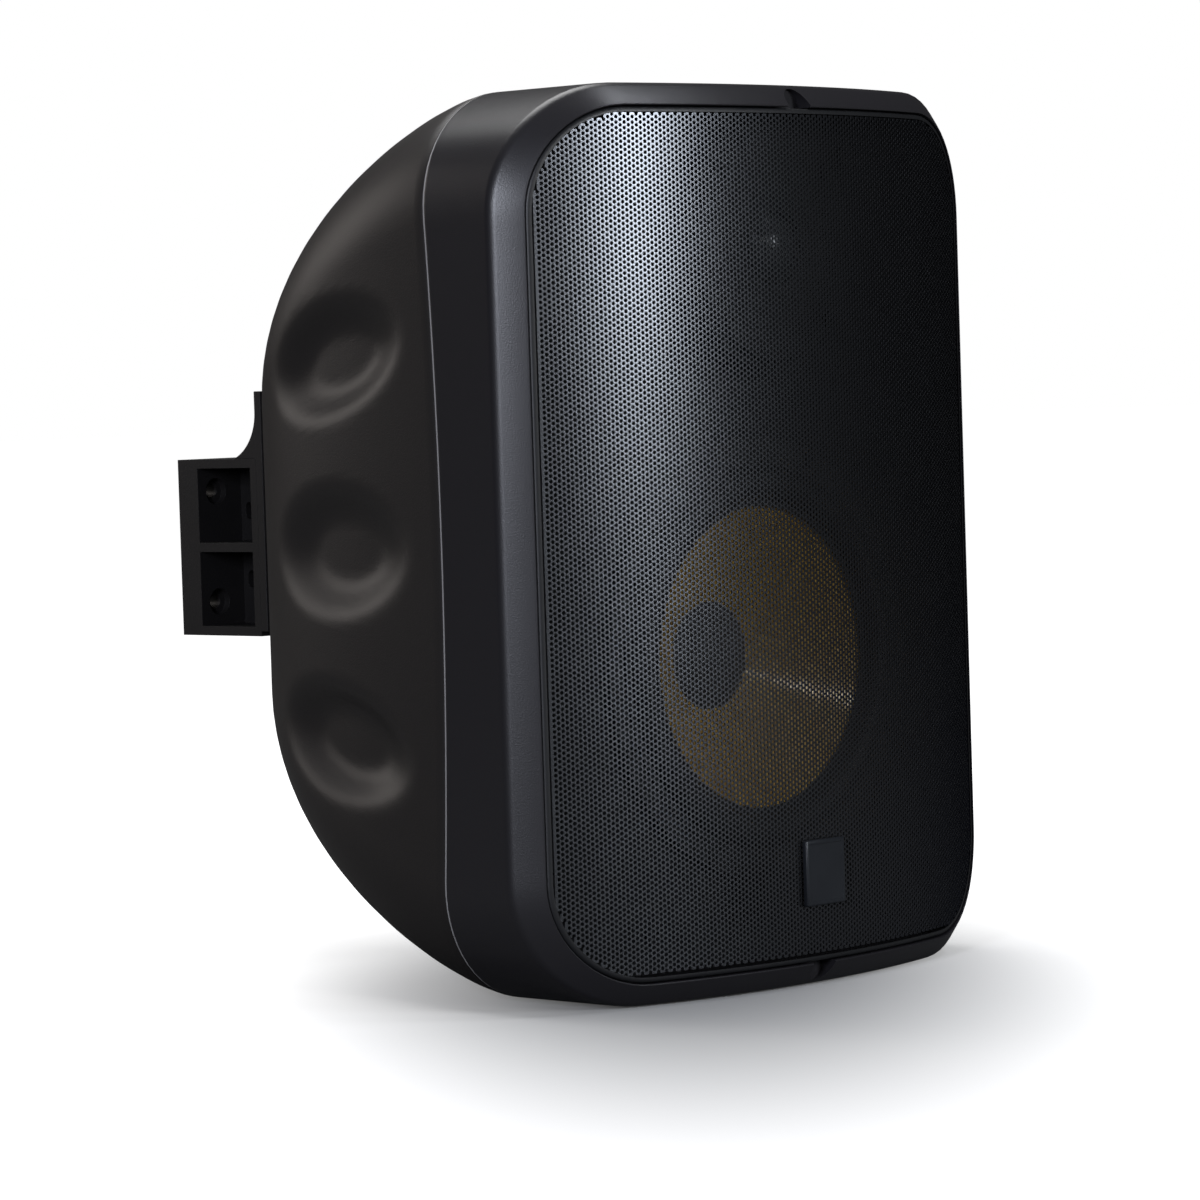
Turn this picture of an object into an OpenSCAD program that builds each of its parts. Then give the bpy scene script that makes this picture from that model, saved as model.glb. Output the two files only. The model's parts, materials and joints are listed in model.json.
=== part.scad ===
// Network speaker on a pan and tilt wall bracket.
// Millimetres. The wall is the plane y = 0 and the speaker faces -Y, with +Z up.
// The origin is the middle of the wall bracket's back face.

/* [Cabinet] */
// Width of the cabinet across its front frame
cabinet_w = 262; // [250:1:280]
// Height of the cabinet
cabinet_h = 340; // [332:1:360]
// Corner radius of the front frame
corner_r = 48; // [42:1:54]
// Depth from the middle of the front to the seam at the top and bottom
frame_d = 74.5; // [72:0.5:82]
// How far the seam bows forward at mid height
seam_bow = 7; // [4:0.5:9]
// Gap at the seam, which the gasket fills
seam_gap = 0.8; // [0.5:0.1:1.2]
// Depth of the rear shell behind the seam
shell_d = 145.5; // [140:0.5:160]
// Wall thickness of the two mouldings
wall_t = 4; // [3:0.5:4.5]
// Width of the flat back of the rear shell
back_w = 80; // [78:1:90]
// Height of the flat back of the rear shell
back_h = 154; // [150:1:170]
// Roundness of the rear shell seen from above
plan_power = 2.5; // [2.2:0.1:3]
// Roundness of the rear shell seen from the side
side_power = 1.33; // [1.25:0.01:1.5]
// Height of the cabinet's middle above the bracket's middle
cabinet_lift = 2.8; // [0:0.2:8]

/* [Side scoops] */
// Depth of each scoop in the side of the rear shell
scoop_d = 8; // [5:0.5:9]
// Length of a scoop from front to back
scoop_l = 94; // [80:1:100]
// Height of the middle scoop
scoop_h = 54; // [45:1:58]
// Height of the upper and lower scoops
outer_scoop_h = 47; // [40:1:52]
// Distance from the seam to the middle of a scoop
scoop_back = 54; // [50:1:60]
// Height of the outer scoops above and below the middle
scoop_rise = 72; // [66:1:78]
// Lean of the outer scoops
scoop_lean = 13; // [8:1:18]

/* [Front frame] */
// Radius of the bow of the front, seen from above
bow_r = 300; // [290:5:360]
// Width of the band between the grille and the edge of the frame
bezel_w = 8.7; // [8:0.1:10]
// Depth of the sloping face of that band
bezel_d = 7; // [5:0.5:8]
// Rounding of the outer edge
edge_r = 4.5; // [3:0.5:5]
// Depth of the baffle's front face behind the middle of the front
baffle_d = 33; // [32:0.5:36]
// Thickness of the baffle
baffle_t = 6; // [5:0.5:8]
// Radius of the finger notches above and below the grille
notch_r = 6.2; // [5:0.1:7]

/* [Grille] */
// Thickness of the perforated sheet
sheet_t = 1; // [0.8:0.1:1.2]
// Depth of the folded rim
fold_d = 6; // [4.5:0.5:6.5]
// Gap between the grille and the frame
grille_gap = 0.5; // [0.3:0.1:0.8]
// How far the grille lies behind the frame's front
grille_set = 1; // [0.6:0.1:1.5]
// Width of the bare badge plate
badge_w = 22; // [18:1:26]
// Height of the badge plate
badge_h = 25; // [20:1:28]
// Thickness of the badge plate
badge_t = 2.5; // [1.5:0.1:3]
// Height of the badge plate's middle above the opening's foot
badge_rise = 34.3; // [30:0.1:40]

/* [Woofer] */
// Share of the free height in the opening that lies between the two drivers
driver_share = 0.444; // [0.4:0.01:0.5]
// Outer radius of the woofer's flange
flange_r = 84; // [83:0.5:86]
// Thickness of the flange
flange_t = 3.6; // [3:0.1:4]
// Thickness of the driver gaskets
seal_t = 1; // [0.6:0.1:1.4]
// Radius of the cone
cone_r = 59.5; // [58:0.5:61]
// Depth of the cone
cone_d = 32; // [30:0.5:34]
// Thickness of the cone
cone_t = 0.8; // [0.6:0.1:1]
// Radius of the voice coil's former
coil_r = 13; // [12.5:0.1:13.5]
// Radius of the dust cap
cap_r = 20.8; // [19:0.1:22]
// Height of the dust cap
cap_h = 6.7; // [6:0.1:8]
// Radius of the magnet
magnet_r = 45; // [42:1:48]
// Thickness of the magnet
magnet_t = 15; // [12:0.5:18]
// Travel of the cone each way
cone_travel = 4; // [3:0.5:4]

/* [Tweeter] */
// Gap between the tweeter's pod and the top of the opening
pod_gap = 4.3; // [3.5:0.1:6]
// Depth of the tweeter's faceplate behind the middle of the front
tweeter_d = 14; // [13:0.5:16]
// Radius of the faceplate
face_r = 44; // [43:0.5:45]
// Thickness of the faceplate
face_t = 3; // [2.5:0.1:3.5]
// Radius of the dome
dome_r = 12.5; // [12:0.1:13]
// Height of the dome
dome_h = 6; // [5:0.1:7]
// Radius of the tweeter's magnet
small_magnet_r = 36; // [33:0.5:37]
// Travel of the dome each way
dome_travel = 0.3; // [0.2:0.1:0.4]

/* [Electronics] */
// Width of the circuit board
board_w = 124; // [120:1:130]
// Height of the circuit board
board_h = 110; // [106:1:114]
// Thickness of the circuit board
board_t = 1.6; // [1.2:0.2:2]
// Distance from the shell's inner back to the board
board_gap = 12.4; // [12:0.1:14]
// Height of the board's middle below the cabinet's middle
board_drop = 22; // [20:1:24]
// Width of the connector panel
panel_w = 72; // [70:1:76]
// Height of the connector panel
panel_h = 34; // [32:1:35]
// Thickness of the connector panel
panel_t = 3; // [2:0.5:4]
// Sideways spacing of the board's screws
board_screw_w = 80; // [70:1:84]
// Height of the panel's middle below the cabinet's middle
panel_drop = 56; // [55:1:57]
// Travel of the reset button
reset_travel = 1; // [0.6:0.1:1.2]

/* [Wall bracket] */
// Distance from the wall to the back of the cabinet
wall_gap = 97; // [96:1:110]
// Width of the wall bracket
bracket_w = 76; // [72:1:84]
// Height of the wall bracket
bracket_h = 73; // [71:1:80]
// Thickness of the bar against the wall
bar_t = 12; // [10:0.2:14]
// Depth of the ribs
rib_d = 32.4; // [30:0.2:32.6]
// Thickness of the ribs and of the front flange
rib_t = 3.8; // [3:0.1:4]
// Radius of the wall screw holes
wall_hole_r = 2.75; // [2.25:0.25:3.25]
// Sideways spacing of the wall screw holes
wall_hole_x = 56; // [52:1:58]
// Vertical spacing of the wall screw holes
wall_hole_z = 46; // [42:1:48]
// Thickness of the hook plate
hook_t = 3.8; // [3:0.1:4]
// Height of the hook plate above the bracket's middle
hook_top = 64; // [60:1:66]
// How far the hook reaches back over the bracket
hook_reach = 13.7; // [10:0.1:15]
// Height of the cove between the hook and the plate
cove_rise = 19; // [16:0.5:22]

/* [Pan and tilt] */
// Distance from the wall to the pan pin
pan_y = 61.5; // [61.5:0.5:63]
// Distance from the wall to the tilt bolt
tilt_y = 83; // [82:0.5:83.5]
// Radius of the pan pin
pin_r = 4; // [3.5:0.1:4.5]
// Radius of the tilt bolt
bolt_r = 4; // [3.5:0.1:4.5]
// Radial clearance of pin and bolt in their bores
pivot_gap = 0.08; // [0.05:0.01:0.1]
// Outer radius of the pivot lugs
lug_r = 8.5; // [7.5:0.5:8.5]
// Height and width of the neck's barrels
barrel_h = 24; // [22:1:28]
// Thickness of the lugs
lug_t = 8; // [6:0.5:9]
// Clearance between the barrels and the lugs
lug_gap = 0.3; // [0.2:0.1:0.5]
// Height of the plate bolted to the cabinet's back
plate_h = 60; // [54:1:62]
// Thickness of that plate
plate_t = 4; // [3:0.5:4.5]

/* [Hidden] */

// Smoothness of round surfaces
$fn = 72;
// Steps along a long side, a short side and a corner of a moulded outline
side_n = 30;
top_n = 12;
corner_n = 7;
// Rings of the shell's outer and inner skins
outer_n = 24;
inner_n = 16;
// Overlap that makes a cut pass clean through a face
cut = 1;

// Places along Y
back_y = -wall_gap;
seam_y = back_y - shell_d;
front_y = seam_y - frame_d;
inner_back_y = back_y - wall_t;
board_y = inner_back_y - board_gap;
bracket_front_y = -(bar_t + rib_d + rib_t);
hook_y = bracket_front_y - hook_t;
plate_y = back_y + plate_t;

// The opening in the front frame
opening_w = cabinet_w - 2 * bezel_w;
opening_h = cabinet_h - 2 * bezel_w;
opening_r = corner_r - bezel_w;

// Heights from the cabinet's middle: the tweeter's pod hangs below the opening's top, and
// the woofer stands in the room that is left
pod_r = face_r + 3;
tweeter_rise = opening_h / 2 - pod_gap - pod_r;
driver_room = tweeter_rise - pod_r + opening_h / 2 - 2 * flange_r;
woofer_drop = flange_r + driver_share * driver_room + pod_r - tweeter_rise;
badge_drop = opening_h / 2 - badge_rise;

// Screws
small_screw_r = 1.5;
screw_r = 2;
big_screw_r = 2.5;

// Colours
black_plastic = [0.09, 0.09, 0.1];
dark_metal = [0.13, 0.13, 0.14];
steel = [0.62, 0.63, 0.65];
brass = [0.78, 0.62, 0.3];

// How far the bowed front falls back at a distance from the middle
function bow(x) = bow_r - sqrt(bow_r * bow_r - x * x);

// Where the seam lies at a height above the cabinet's middle
function seam(z) = seam_y - seam_bow * (1 - pow(2 * z / cabinet_h, 2));

// Points along a straight run and along a quarter circle, without the last point
function run(a, b, n) = [for (i = [0:n - 1]) a + (b - a) * i / n];
function corner(c, r, a, n) = [for (i = [0:n - 1]) c + r * [cos(a + 90 * i / n), sin(a + 90 * i / n)]];

// A rounded rectangle in X and Z, with the same number of points at every size
function outline(w, h, r) = concat(
    run([w / 2, r - h / 2], [w / 2, h / 2 - r], side_n),
    corner([w / 2 - r, h / 2 - r], r, 0, corner_n),
    run([w / 2 - r, h / 2], [r - w / 2, h / 2], top_n),
    corner([r - w / 2, h / 2 - r], r, 90, corner_n),
    run([-w / 2, h / 2 - r], [-w / 2, r - h / 2], side_n),
    corner([r - w / 2, r - h / 2], r, 180, corner_n),
    run([r - w / 2, -h / 2], [w / 2 - r, -h / 2], top_n),
    corner([w / 2 - r, r - h / 2], r, 270, corner_n)
);

// Triangles between rings of n points, from ring to ring
function band(rings, n, count) = [
    for (k = [0:count - 1])
    for (i = [0:n - 1])
    let (
        a = k * n + i,
        b = ((k + 1) % rings) * n + i,
        c = ((k + 1) % rings) * n + (i + 1) % n,
        d = k * n + (i + 1) % n
    )
    each [[a, b, c], [a, c, d]]
];

// A closed loop of rings, such as a frame
module ring_loop(rings) {
    n = len(rings[0]);
    polyhedron(points = [for (r = rings) each r], faces = band(len(rings), n, len(rings)));
}

// A cup whose outer rings run to the rim and whose inner rings run back down
module cup(rings, outer_middle, inner_middle) {
    n = len(rings[0]);
    count = len(rings);
    last = (count - 1) * n;
    polyhedron(
        points = concat([for (r = rings) each r], [outer_middle, inner_middle]),
        faces = concat(
            band(count, n, count - 1),
            [for (i = [0:n - 1]) [count * n, i, (i + 1) % n]],
            [for (i = [0:n - 1]) [count * n + 1, last + (i + 1) % n, last + i]]
        )
    );
}

// A tube of given radius along a list of points, closed at both ends
module lead(path, r, sides = 6) {
    rings = [
        for (k = [0:len(path) - 1])
        let (
            ahead = path[min(k + 1, len(path) - 1)] - path[max(k - 1, 0)],
            t = ahead / norm(ahead),
            u = cross(t, abs(t[0]) < 0.9 ? [1, 0, 0] : [0, 1, 0]),
            a = u / norm(u),
            b = cross(t, a)
        )
        [for (i = [0:sides - 1]) path[k] + r * (a * cos(360 * i / sides) + b * sin(360 * i / sides))]
    ];
    count = len(rings);
    polyhedron(
        points = [for (p = rings) each p],
        faces = concat(
            [for (f = band(count, sides, count - 1)) [f[2], f[1], f[0]]],
            [[for (i = [0:sides - 1]) i]],
            [[for (i = [0:sides - 1]) count * sides - 1 - i]]
        )
    );
}

// A smooth path through four points
function curve(p, n) = [
    for (i = [0:n])
    let (t = i / n, s = 1 - t)
    s * s * s * p[0] + 3 * s * s * t * p[1] + 3 * s * t * t * p[2] + t * t * t * p[3]
];

// A flat rounded rectangle, and a slab of it that runs along Y from y0 to y1
module rounded(w, h, r) {
    square([w - 2 * r, h], center = true);
    square([w, h - 2 * r], center = true);
    for (x = [-1, 1])
        for (z = [-1, 1])
            translate([x * (w / 2 - r), z * (h / 2 - r)])
                circle(r);
}

module slab(w, h, r, y0, y1) {
    translate([0, y1, 0])
        rotate([90, 0, 0])
            linear_extrude(y1 - y0)
                rounded(w, h, r);
}

// A block centred in X and Z that runs along Y from y0 to y1
module block(w, h, y0, y1) {
    translate([-w / 2, y0, -h / 2])
        cube([w, y1 - y0, h]);
}

// Everything behind the bowed front, from a depth on
module behind_bow(d) {
    translate([0, front_y + d + bow_r, 0])
        cylinder(r = bow_r, h = 2 * cabinet_h, center = true, $fn = 200);
}

// Moves a piece to the cabinet's middle height
module in_cabinet() {
    translate([0, 0, cabinet_lift])
        children();
}

// Turns +Z to the back and starts at a depth behind the middle of the front
module facing_front(d, z) {
    translate([0, front_y + d, cabinet_lift + z])
        rotate([-90, 0, 0])
            children();
}

// A rod along Y, from y0 to y1
module rod_y(r, y0, y1) {
    translate([0, y0, 0])
        rotate([-90, 0, 0])
            cylinder(r = r, h = y1 - y0);
}

// Copies at the four corners of a rectangle in X and Z
module at_corners(w, h) {
    for (x = [-1, 1])
        for (z = [-1, 1])
            translate([x * w / 2, 0, z * h / 2])
                children();
}

// Copies on a circle round Z
module round_z(n, r, start = 0) {
    for (i = [0:n - 1])
        rotate([0, 0, start + i * 360 / n])
            translate([r, 0, 0])
                children();
}

// A pan-head screw that enters along +Y, with its head's seat at y
module screw(r, l, y) {
    difference() {
        union() {
            rod_y(2 * r, y - 1.1 * r, y);
            rod_y(r, y, y + l);
        }
        translate([0, y - 1.1 * r, 0])
            cube([0.5 * r, 1.1 * r, 2.4 * r], center = true);
        translate([0, y - 1.1 * r, 0])
            cube([2.4 * r, 1.1 * r, 0.5 * r], center = true);
    }
}

// Share of a scoop's half size over which its side slopes
scoop_edge = 0.6;
// Width beside the flat back over which the scoops fade in
scoop_fade = 30;

// Depth of the scoops at a place on the side of the shell: k is 1, 0 or -1
function scoop(y, z, k) =
    let (
        dy = y - (seam_y + scoop_back),
        dz = z - k * scoop_rise,
        a = k * scoop_lean,
        u = (dy * cos(a) - dz * sin(a)) / (scoop_l / 2),
        v = (dy * sin(a) + dz * cos(a)) / ((k == 0 ? scoop_h : outer_scoop_h) / 2),
        s = min(1, max(0, 1 - sqrt(u * u + v * v)) / scoop_edge)
    )
    scoop_d * s * s * (3 - 2 * s);

function scoops(y, z) = scoop(y, z, -1) + scoop(y, z, 0) + scoop(y, z, 1);

// Half size of the shell at a share t of its depth: 0 at the seam and 1 at the back
function swell(t, power) = pow(max(0, 1 - pow(t, power)), 1 / power);
function shell_w(t) = back_w + (cabinet_w - back_w) * swell(t, plan_power);
function shell_h(t) = back_h + (cabinet_h - back_h) * swell(t, side_power);

// One ring of the shell, at a share t of its depth and inside the outer skin by inset
function shell_ring(t, inset) =
    let (
        w = shell_w(t) - 2 * inset,
        h = shell_h(t) - 2 * inset,
        r = min(corner_r, 0.25 * w)
    )
    [
        for (p = outline(w, h, r))
        let (
            y = seam(p[1]) + t * (back_y - inset - seam(p[1])),
            side = min(1, max(0, (abs(p[0]) - back_w / 2) / scoop_fade))
        )
        [p[0] - sign(p[0]) * side * scoops(y, p[1]), y, p[1]]
    ];

// Share of the depth at step k of n, closer together towards the back
function share(k, n) = 0.5 * k / n + 0.5 * sin(90 * k / n);

module shell_skin() {
    cup(
        concat(
            [for (k = [0:outer_n]) shell_ring(share(outer_n - k, outer_n), 0)],
            [for (k = [0:inner_n]) shell_ring(share(k, inner_n), wall_t)]
        ),
        [0, back_y, 0],
        [0, inner_back_y, 0]
    );
}

// Where the frame screws stand: near the corners, at mid height, above and below
post_r = 5.5;
post_l = 76;
post_bore = 16;
screw_grip = 14;
side_screw_x = opening_w / 2 - 10.3;
side_screw_z = 10;
corner_screw_z = cabinet_h / 2 - corner_r;
end_screw_x = opening_w / 4;
end_screw_z = opening_h / 2 - 15.3;
frame_screw_places = [
    for (x = [-1, 1])
    each [
        [x * side_screw_x, side_screw_z],
        for (z = [-1, 1]) [x * side_screw_x, z * corner_screw_z],
        for (z = [-1, 1]) [x * end_screw_x, z * end_screw_z]
    ]
];
post_y = front_y + baffle_d + baffle_t;
mount_screw_w = 56;
mount_screw_h = 40;
insert_l = 8;
insert_r = 3.6;
insert_boss_r = 6.5;
standoff_r = 4;
standoff_bore = 8;
board_screw_h = board_h - 12;
panel_hole_w = panel_w - 14;
panel_hole_h = panel_h - 8;
panel_screw_w = panel_w - 7;
panel_screw_h = panel_h - 14;

// The rear half of the cabinet: one moulded shell with its screw posts and bosses
module rear_cabinet() {
    color(black_plastic)
        in_cabinet()
            difference() {
                union() {
                    shell_skin();
                    for (p = frame_screw_places)
                        translate([p[0], 0, p[1]]) {
                            rod_y(post_r, post_y, post_y + post_l);
                            post_rib(p);
                        }
                    translate([0, 0, -cabinet_lift])
                        at_corners(mount_screw_w, mount_screw_h)
                            rod_y(insert_boss_r, inner_back_y - insert_l, inner_back_y + cut);
                    translate([0, 0, -board_drop])
                        at_corners(board_screw_w, board_screw_h)
                            rod_y(standoff_r, board_y, inner_back_y + cut);
                }
                for (p = frame_screw_places)
                    translate([p[0], 0, p[1]])
                        rod_y(screw_r, post_y - cut, post_y + post_bore);
                translate([0, 0, -cabinet_lift])
                    at_corners(mount_screw_w, mount_screw_h)
                        rod_y(insert_r, back_y - insert_l, back_y + cut);
                translate([0, 0, -board_drop])
                    at_corners(board_screw_w, board_screw_h)
                        rod_y(small_screw_r, board_y - cut, board_y + standoff_bore);
                translate([0, 0, -panel_drop])
                    block(panel_hole_w, panel_hole_h, inner_back_y - cut, back_y + cut);
                translate([0, 0, -panel_drop])
                    at_corners(panel_screw_w, panel_screw_h)
                        rod_y(small_screw_r, inner_back_y - cut, back_y + cut);
            }
}

// A rib that ties a screw post to the wall beside it, and ends inside that wall
post_rib_t = 3;
post_rib_y = 3;
post_rib_l = 9;

module post_rib(p) {
    from_y = seam_y + post_rib_y;
    end_y = from_y + post_rib_l;
    t = (end_y - seam(p[1])) / (back_y - seam(p[1]));
    reach_x = (shell_w(t) - wall_t) / 2 - abs(p[0]);
    reach_z = (shell_h(t) - wall_t) / 2 - abs(p[1]);
    if (abs(p[1]) < end_screw_z)
        translate([p[0] > 0 ? 0 : -reach_x, from_y, -post_rib_t / 2])
            cube([reach_x, post_rib_l, post_rib_t]);
    else
        translate([-post_rib_t / 2, from_y, p[1] > 0 ? 0 : -reach_z])
            cube([post_rib_t, post_rib_l, reach_z]);
}

// One ring of the front frame: inset from its outer outline, depth behind the bow
function bow_ring(inset, d) = [
    for (p = outline(cabinet_w - 2 * inset, cabinet_h - 2 * inset, corner_r - inset))
    [p[0], front_y + bow(p[0]) + d, p[1]]
];
function flat_ring(inset, y) = [
    for (p = outline(cabinet_w - 2 * inset, cabinet_h - 2 * inset, corner_r - inset))
    [p[0], y, p[1]]
];
function seam_ring(inset, shift) = [
    for (p = outline(cabinet_w - 2 * inset, cabinet_h - 2 * inset, corner_r - inset))
    [p[0], seam(p[1]) + shift, p[1]]
];

// The rounded outer edge runs into the sloping band
band_angle = atan2(bezel_d, bezel_w);
edge_steps = 5;
lip = 0.8;

module frame_skin() {
    last_a = 90 - band_angle;
    edge_in = edge_r * (1 - cos(last_a));
    edge_d = (bezel_w - edge_in) * tan(band_angle) - edge_r * (1 - sin(last_a));
    ring_loop(concat(
        [seam_ring(0, -seam_gap), bow_ring(0, edge_d + edge_r)],
        [
            for (k = [1:edge_steps])
            let (a = last_a * k / edge_steps)
            bow_ring(edge_r * (1 - cos(a)), edge_d + edge_r * (1 - sin(a)))
        ],
        [
            bow_ring(bezel_w - lip, 0.3 * lip),
            bow_ring(bezel_w, 1.2 * lip),
            flat_ring(bezel_w, post_y),
            flat_ring(wall_t, post_y),
            seam_ring(wall_t, -seam_gap)
        ]
    ));
}

woofer_hole_r = flange_r - 7;
woofer_screw_r = flange_r - 3.2;
tweeter_screw_r = face_r - 4;
pod_bore = 12;

// The front half: bezel, side walls, baffle and tweeter pod, moulded in one piece
module front_frame() {
    color(black_plastic)
        difference() {
            union() {
                in_cabinet()
                    frame_skin();
                in_cabinet()
                    slab(opening_w + 2 * cut, opening_h + 2 * cut, opening_r + cut,
                         front_y + baffle_d, post_y);
                facing_front(tweeter_d + face_t, tweeter_rise)
                    cylinder(r = pod_r, h = baffle_d - tweeter_d - face_t + cut);
            }
            facing_front(baffle_d - cut, -woofer_drop) {
                cylinder(r = woofer_hole_r, h = baffle_t + 2 * cut);
                round_z(8, woofer_screw_r, 22.5)
                    cylinder(r = small_screw_r, h = baffle_t + 2 * cut);
            }
            facing_front(tweeter_d + face_t - cut, tweeter_rise) {
                cylinder(r = small_magnet_r + 1, h = baffle_d + baffle_t);
                round_z(4, tweeter_screw_r, 45)
                    cylinder(r = small_screw_r, h = pod_bore + cut);
            }
            in_cabinet() {
                for (p = frame_screw_places)
                    translate([p[0], 0, p[1]])
                        rod_y(screw_r + 0.3, front_y + baffle_d - cut, post_y + cut);
                for (z = [-1, 1])
                    translate([0, 0, z * (opening_h / 2 + cut)])
                        rod_y(notch_r, front_y - cut, front_y + bezel_d + cut);
            }
        }
}

// The seal in the seam
seal_out = 1.2;
seal_in = wall_t - 0.3;

module cabinet_gasket() {
    color([0.05, 0.05, 0.05])
        in_cabinet()
            ring_loop([
                seam_ring(seal_out, 0),
                seam_ring(seal_out, -seam_gap),
                seam_ring(seal_in, -seam_gap),
                seam_ring(seal_in, 0)
            ]);
}

// Screws that clamp the baffle to the rear cabinet's posts
module frame_screws() {
    color(dark_metal)
        in_cabinet()
            for (p = frame_screw_places)
                translate([p[0], 0, p[1]])
                    screw(screw_r, baffle_t + screw_grip, front_y + baffle_d);
}

// The bowed sheet with its folded rim; its round holes are a fine surface pattern
module grille() {
    w = opening_w - 2 * grille_gap;
    h = opening_h - 2 * grille_gap;
    r = opening_r - grille_gap;
    color([0.2, 0.21, 0.23])
        in_cabinet()
            difference() {
                intersection() {
                    behind_bow(grille_set);
                    slab(w, h, r, front_y - cut, front_y + baffle_d);
                }
                intersection() {
                    behind_bow(grille_set + sheet_t);
                    slab(w - 2 * sheet_t, h - 2 * sheet_t, r - sheet_t,
                         front_y - 2 * cut, front_y + baffle_d + cut);
                }
                behind_bow(grille_set + fold_d);
            }
}

// The bare plate on the grille
module badge_plate() {
    y1 = front_y + grille_set;
    bevel = 0.8;
    color([0.12, 0.13, 0.15])
        translate([0, 0, cabinet_lift - badge_drop]) {
            slab(badge_w, badge_h, 1.5, y1 - badge_t + bevel, y1);
            slab(badge_w - 2 * bevel, badge_h - 2 * bevel, 1, y1 - badge_t, y1 - badge_t + bevel);
        }
}

// Woofer: depths below count from the front of its flange
woofer_d = baffle_d - seal_t - flange_t;
roll_r = 6.6;
roll_t = 0.7;
roll_gap = 0.3;
roll_in = cone_r + roll_gap;
roll_mid = roll_in + roll_r;
roll_out = roll_mid + roll_r;
basket_d = cone_d + 14;
ledge_d = basket_d - 8;
former_t = 0.2;
wire_t = 0.4;
air_gap = 0.6;
top_plate_t = 6;
yoke_t = 6;
magnet_hole_r = coil_r + 11;
former_end = basket_d + top_plate_t + 10;

// The basket's rear pan and the ledge that the spider is glued to
leg_t = 3;
pan_r = flange_r - 31;
ledge_out = pan_r - leg_t;
ledge_in = ledge_out - 10;
window_w = pan_r - 1;
window_d = flange_t + 5;
window_l = ledge_d - 4 - window_d;

module at_woofer() {
    facing_front(woofer_d, -woofer_drop)
        children();
}

// Pressed steel basket with four windows between its legs
module woofer_basket() {
    color(dark_metal)
        at_woofer()
            difference() {
                rotate_extrude()
                    polygon([
                        [flange_r, 0], [flange_r, flange_t], [roll_out + 2.6, flange_t],
                        [pan_r, ledge_d - 2], [pan_r, basket_d], [magnet_hole_r, basket_d],
                        [magnet_hole_r, basket_d - leg_t], [ledge_in, basket_d - leg_t],
                        [ledge_in, ledge_d], [ledge_out, ledge_d], [ledge_out, ledge_d - 3.5],
                        [roll_out, 2.4], [roll_out, 0]
                    ]);
                for (a = [0:3])
                    rotate([0, 0, 90 * a])
                        translate([ledge_in - 4, -window_w / 2, window_d])
                            cube([flange_r - ledge_in, window_w, window_l]);
                translate([0, 0, -cut])
                    round_z(8, woofer_screw_r, 22.5)
                        cylinder(r = screw_r, h = flange_t + 2 * cut);
            }
}

module woofer_gasket() {
    color([0.06, 0.06, 0.06])
        at_woofer()
            translate([0, 0, flange_t])
                difference() {
                    cylinder(r = flange_r, h = seal_t);
                    translate([0, 0, -cut])
                        cylinder(r = woofer_hole_r, h = seal_t + 2 * cut);
                    translate([0, 0, -cut])
                        round_z(8, woofer_screw_r, 22.5)
                            cylinder(r = screw_r, h = seal_t + 2 * cut);
                }
}

module plate_ring(outer, inner, d, t) {
    translate([0, 0, d])
        difference() {
            cylinder(r = outer, h = t);
            translate([0, 0, -cut])
                cylinder(r = inner, h = t + 2 * cut);
        }
}

module woofer_top_plate() {
    color(steel)
        at_woofer()
            plate_ring(magnet_r, coil_r + former_t + wire_t + air_gap, basket_d, top_plate_t);
}

module woofer_magnet() {
    color([0.16, 0.16, 0.17])
        at_woofer()
            plate_ring(magnet_r, magnet_hole_r, basket_d + top_plate_t, magnet_t);
}

// Back plate and pole, forged in one
module woofer_yoke() {
    color(steel)
        at_woofer() {
            translate([0, 0, basket_d + top_plate_t + magnet_t])
                cylinder(r = magnet_r - 2, h = yoke_t);
            translate([0, 0, basket_d])
                cylinder(r = coil_r - air_gap, h = top_plate_t + magnet_t + cut);
        }
}

// The rubber half roll round the cone
module woofer_surround() {
    color([0.07, 0.07, 0.07])
        at_woofer()
            rotate_extrude() {
                intersection() {
                    translate([roll_mid, 0])
                        difference() {
                            circle(roll_r);
                            circle(roll_r - roll_t);
                        }
                    translate([roll_in - cut, -2 * roll_r])
                        square([2 * roll_r + 2 * cut, 2 * roll_r]);
                }
                translate([roll_in - 2.2, -roll_t])
                    square([2.2 + roll_t, roll_t - 0.1]);
                translate([roll_out - roll_t, -roll_t])
                    square([4, roll_t]);
            }
}

// The corrugated cloth disc that centres the coil
spider_in = coil_r + former_t + 0.25;
spider_out = ledge_in - 1;
spider_waves = 5;
wave_h = 1.1;
cloth_t = 0.5;

function spider_line(n) = [
    for (i = [0:n])
    [spider_in + (spider_out - spider_in) * i / n, wave_h * sin(360 * spider_waves * i / n)]
];

module woofer_spider() {
    line = spider_line(60);
    rim = ledge_out - 2;
    color([0.72, 0.6, 0.36])
        at_woofer()
            translate([0, 0, ledge_d - cloth_t])
                rotate_extrude()
                    polygon(concat(
                        line,
                        [[rim, 0], [rim, cloth_t], [spider_out, cloth_t]],
                        [for (i = [60:-1:0]) line[i] + [0, cloth_t]]
                    ));
}

// Two solder tags on the edge of the basket's rear pan
tag_t = 0.8;
tag_back = 1.8;
tag_w = 4;
tag_l = 8;
tag_x = 6;

module woofer_terminals() {
    color(brass)
        at_woofer()
            difference() {
                for (x = [-tag_x, tag_x])
                    translate([x - tag_w / 2, pan_r - cut, ledge_d + tag_back - tag_t])
                        cube([tag_w, tag_l + cut, tag_t]);
                cylinder(r = pan_r, h = basket_d);
            }
}

// Screws through the woofer's flange into the baffle
module woofer_screws() {
    color(dark_metal)
        at_woofer()
            round_z(8, woofer_screw_r, 22.5)
                turned_screw(small_screw_r, flange_t + seal_t + baffle_t);
}

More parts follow.
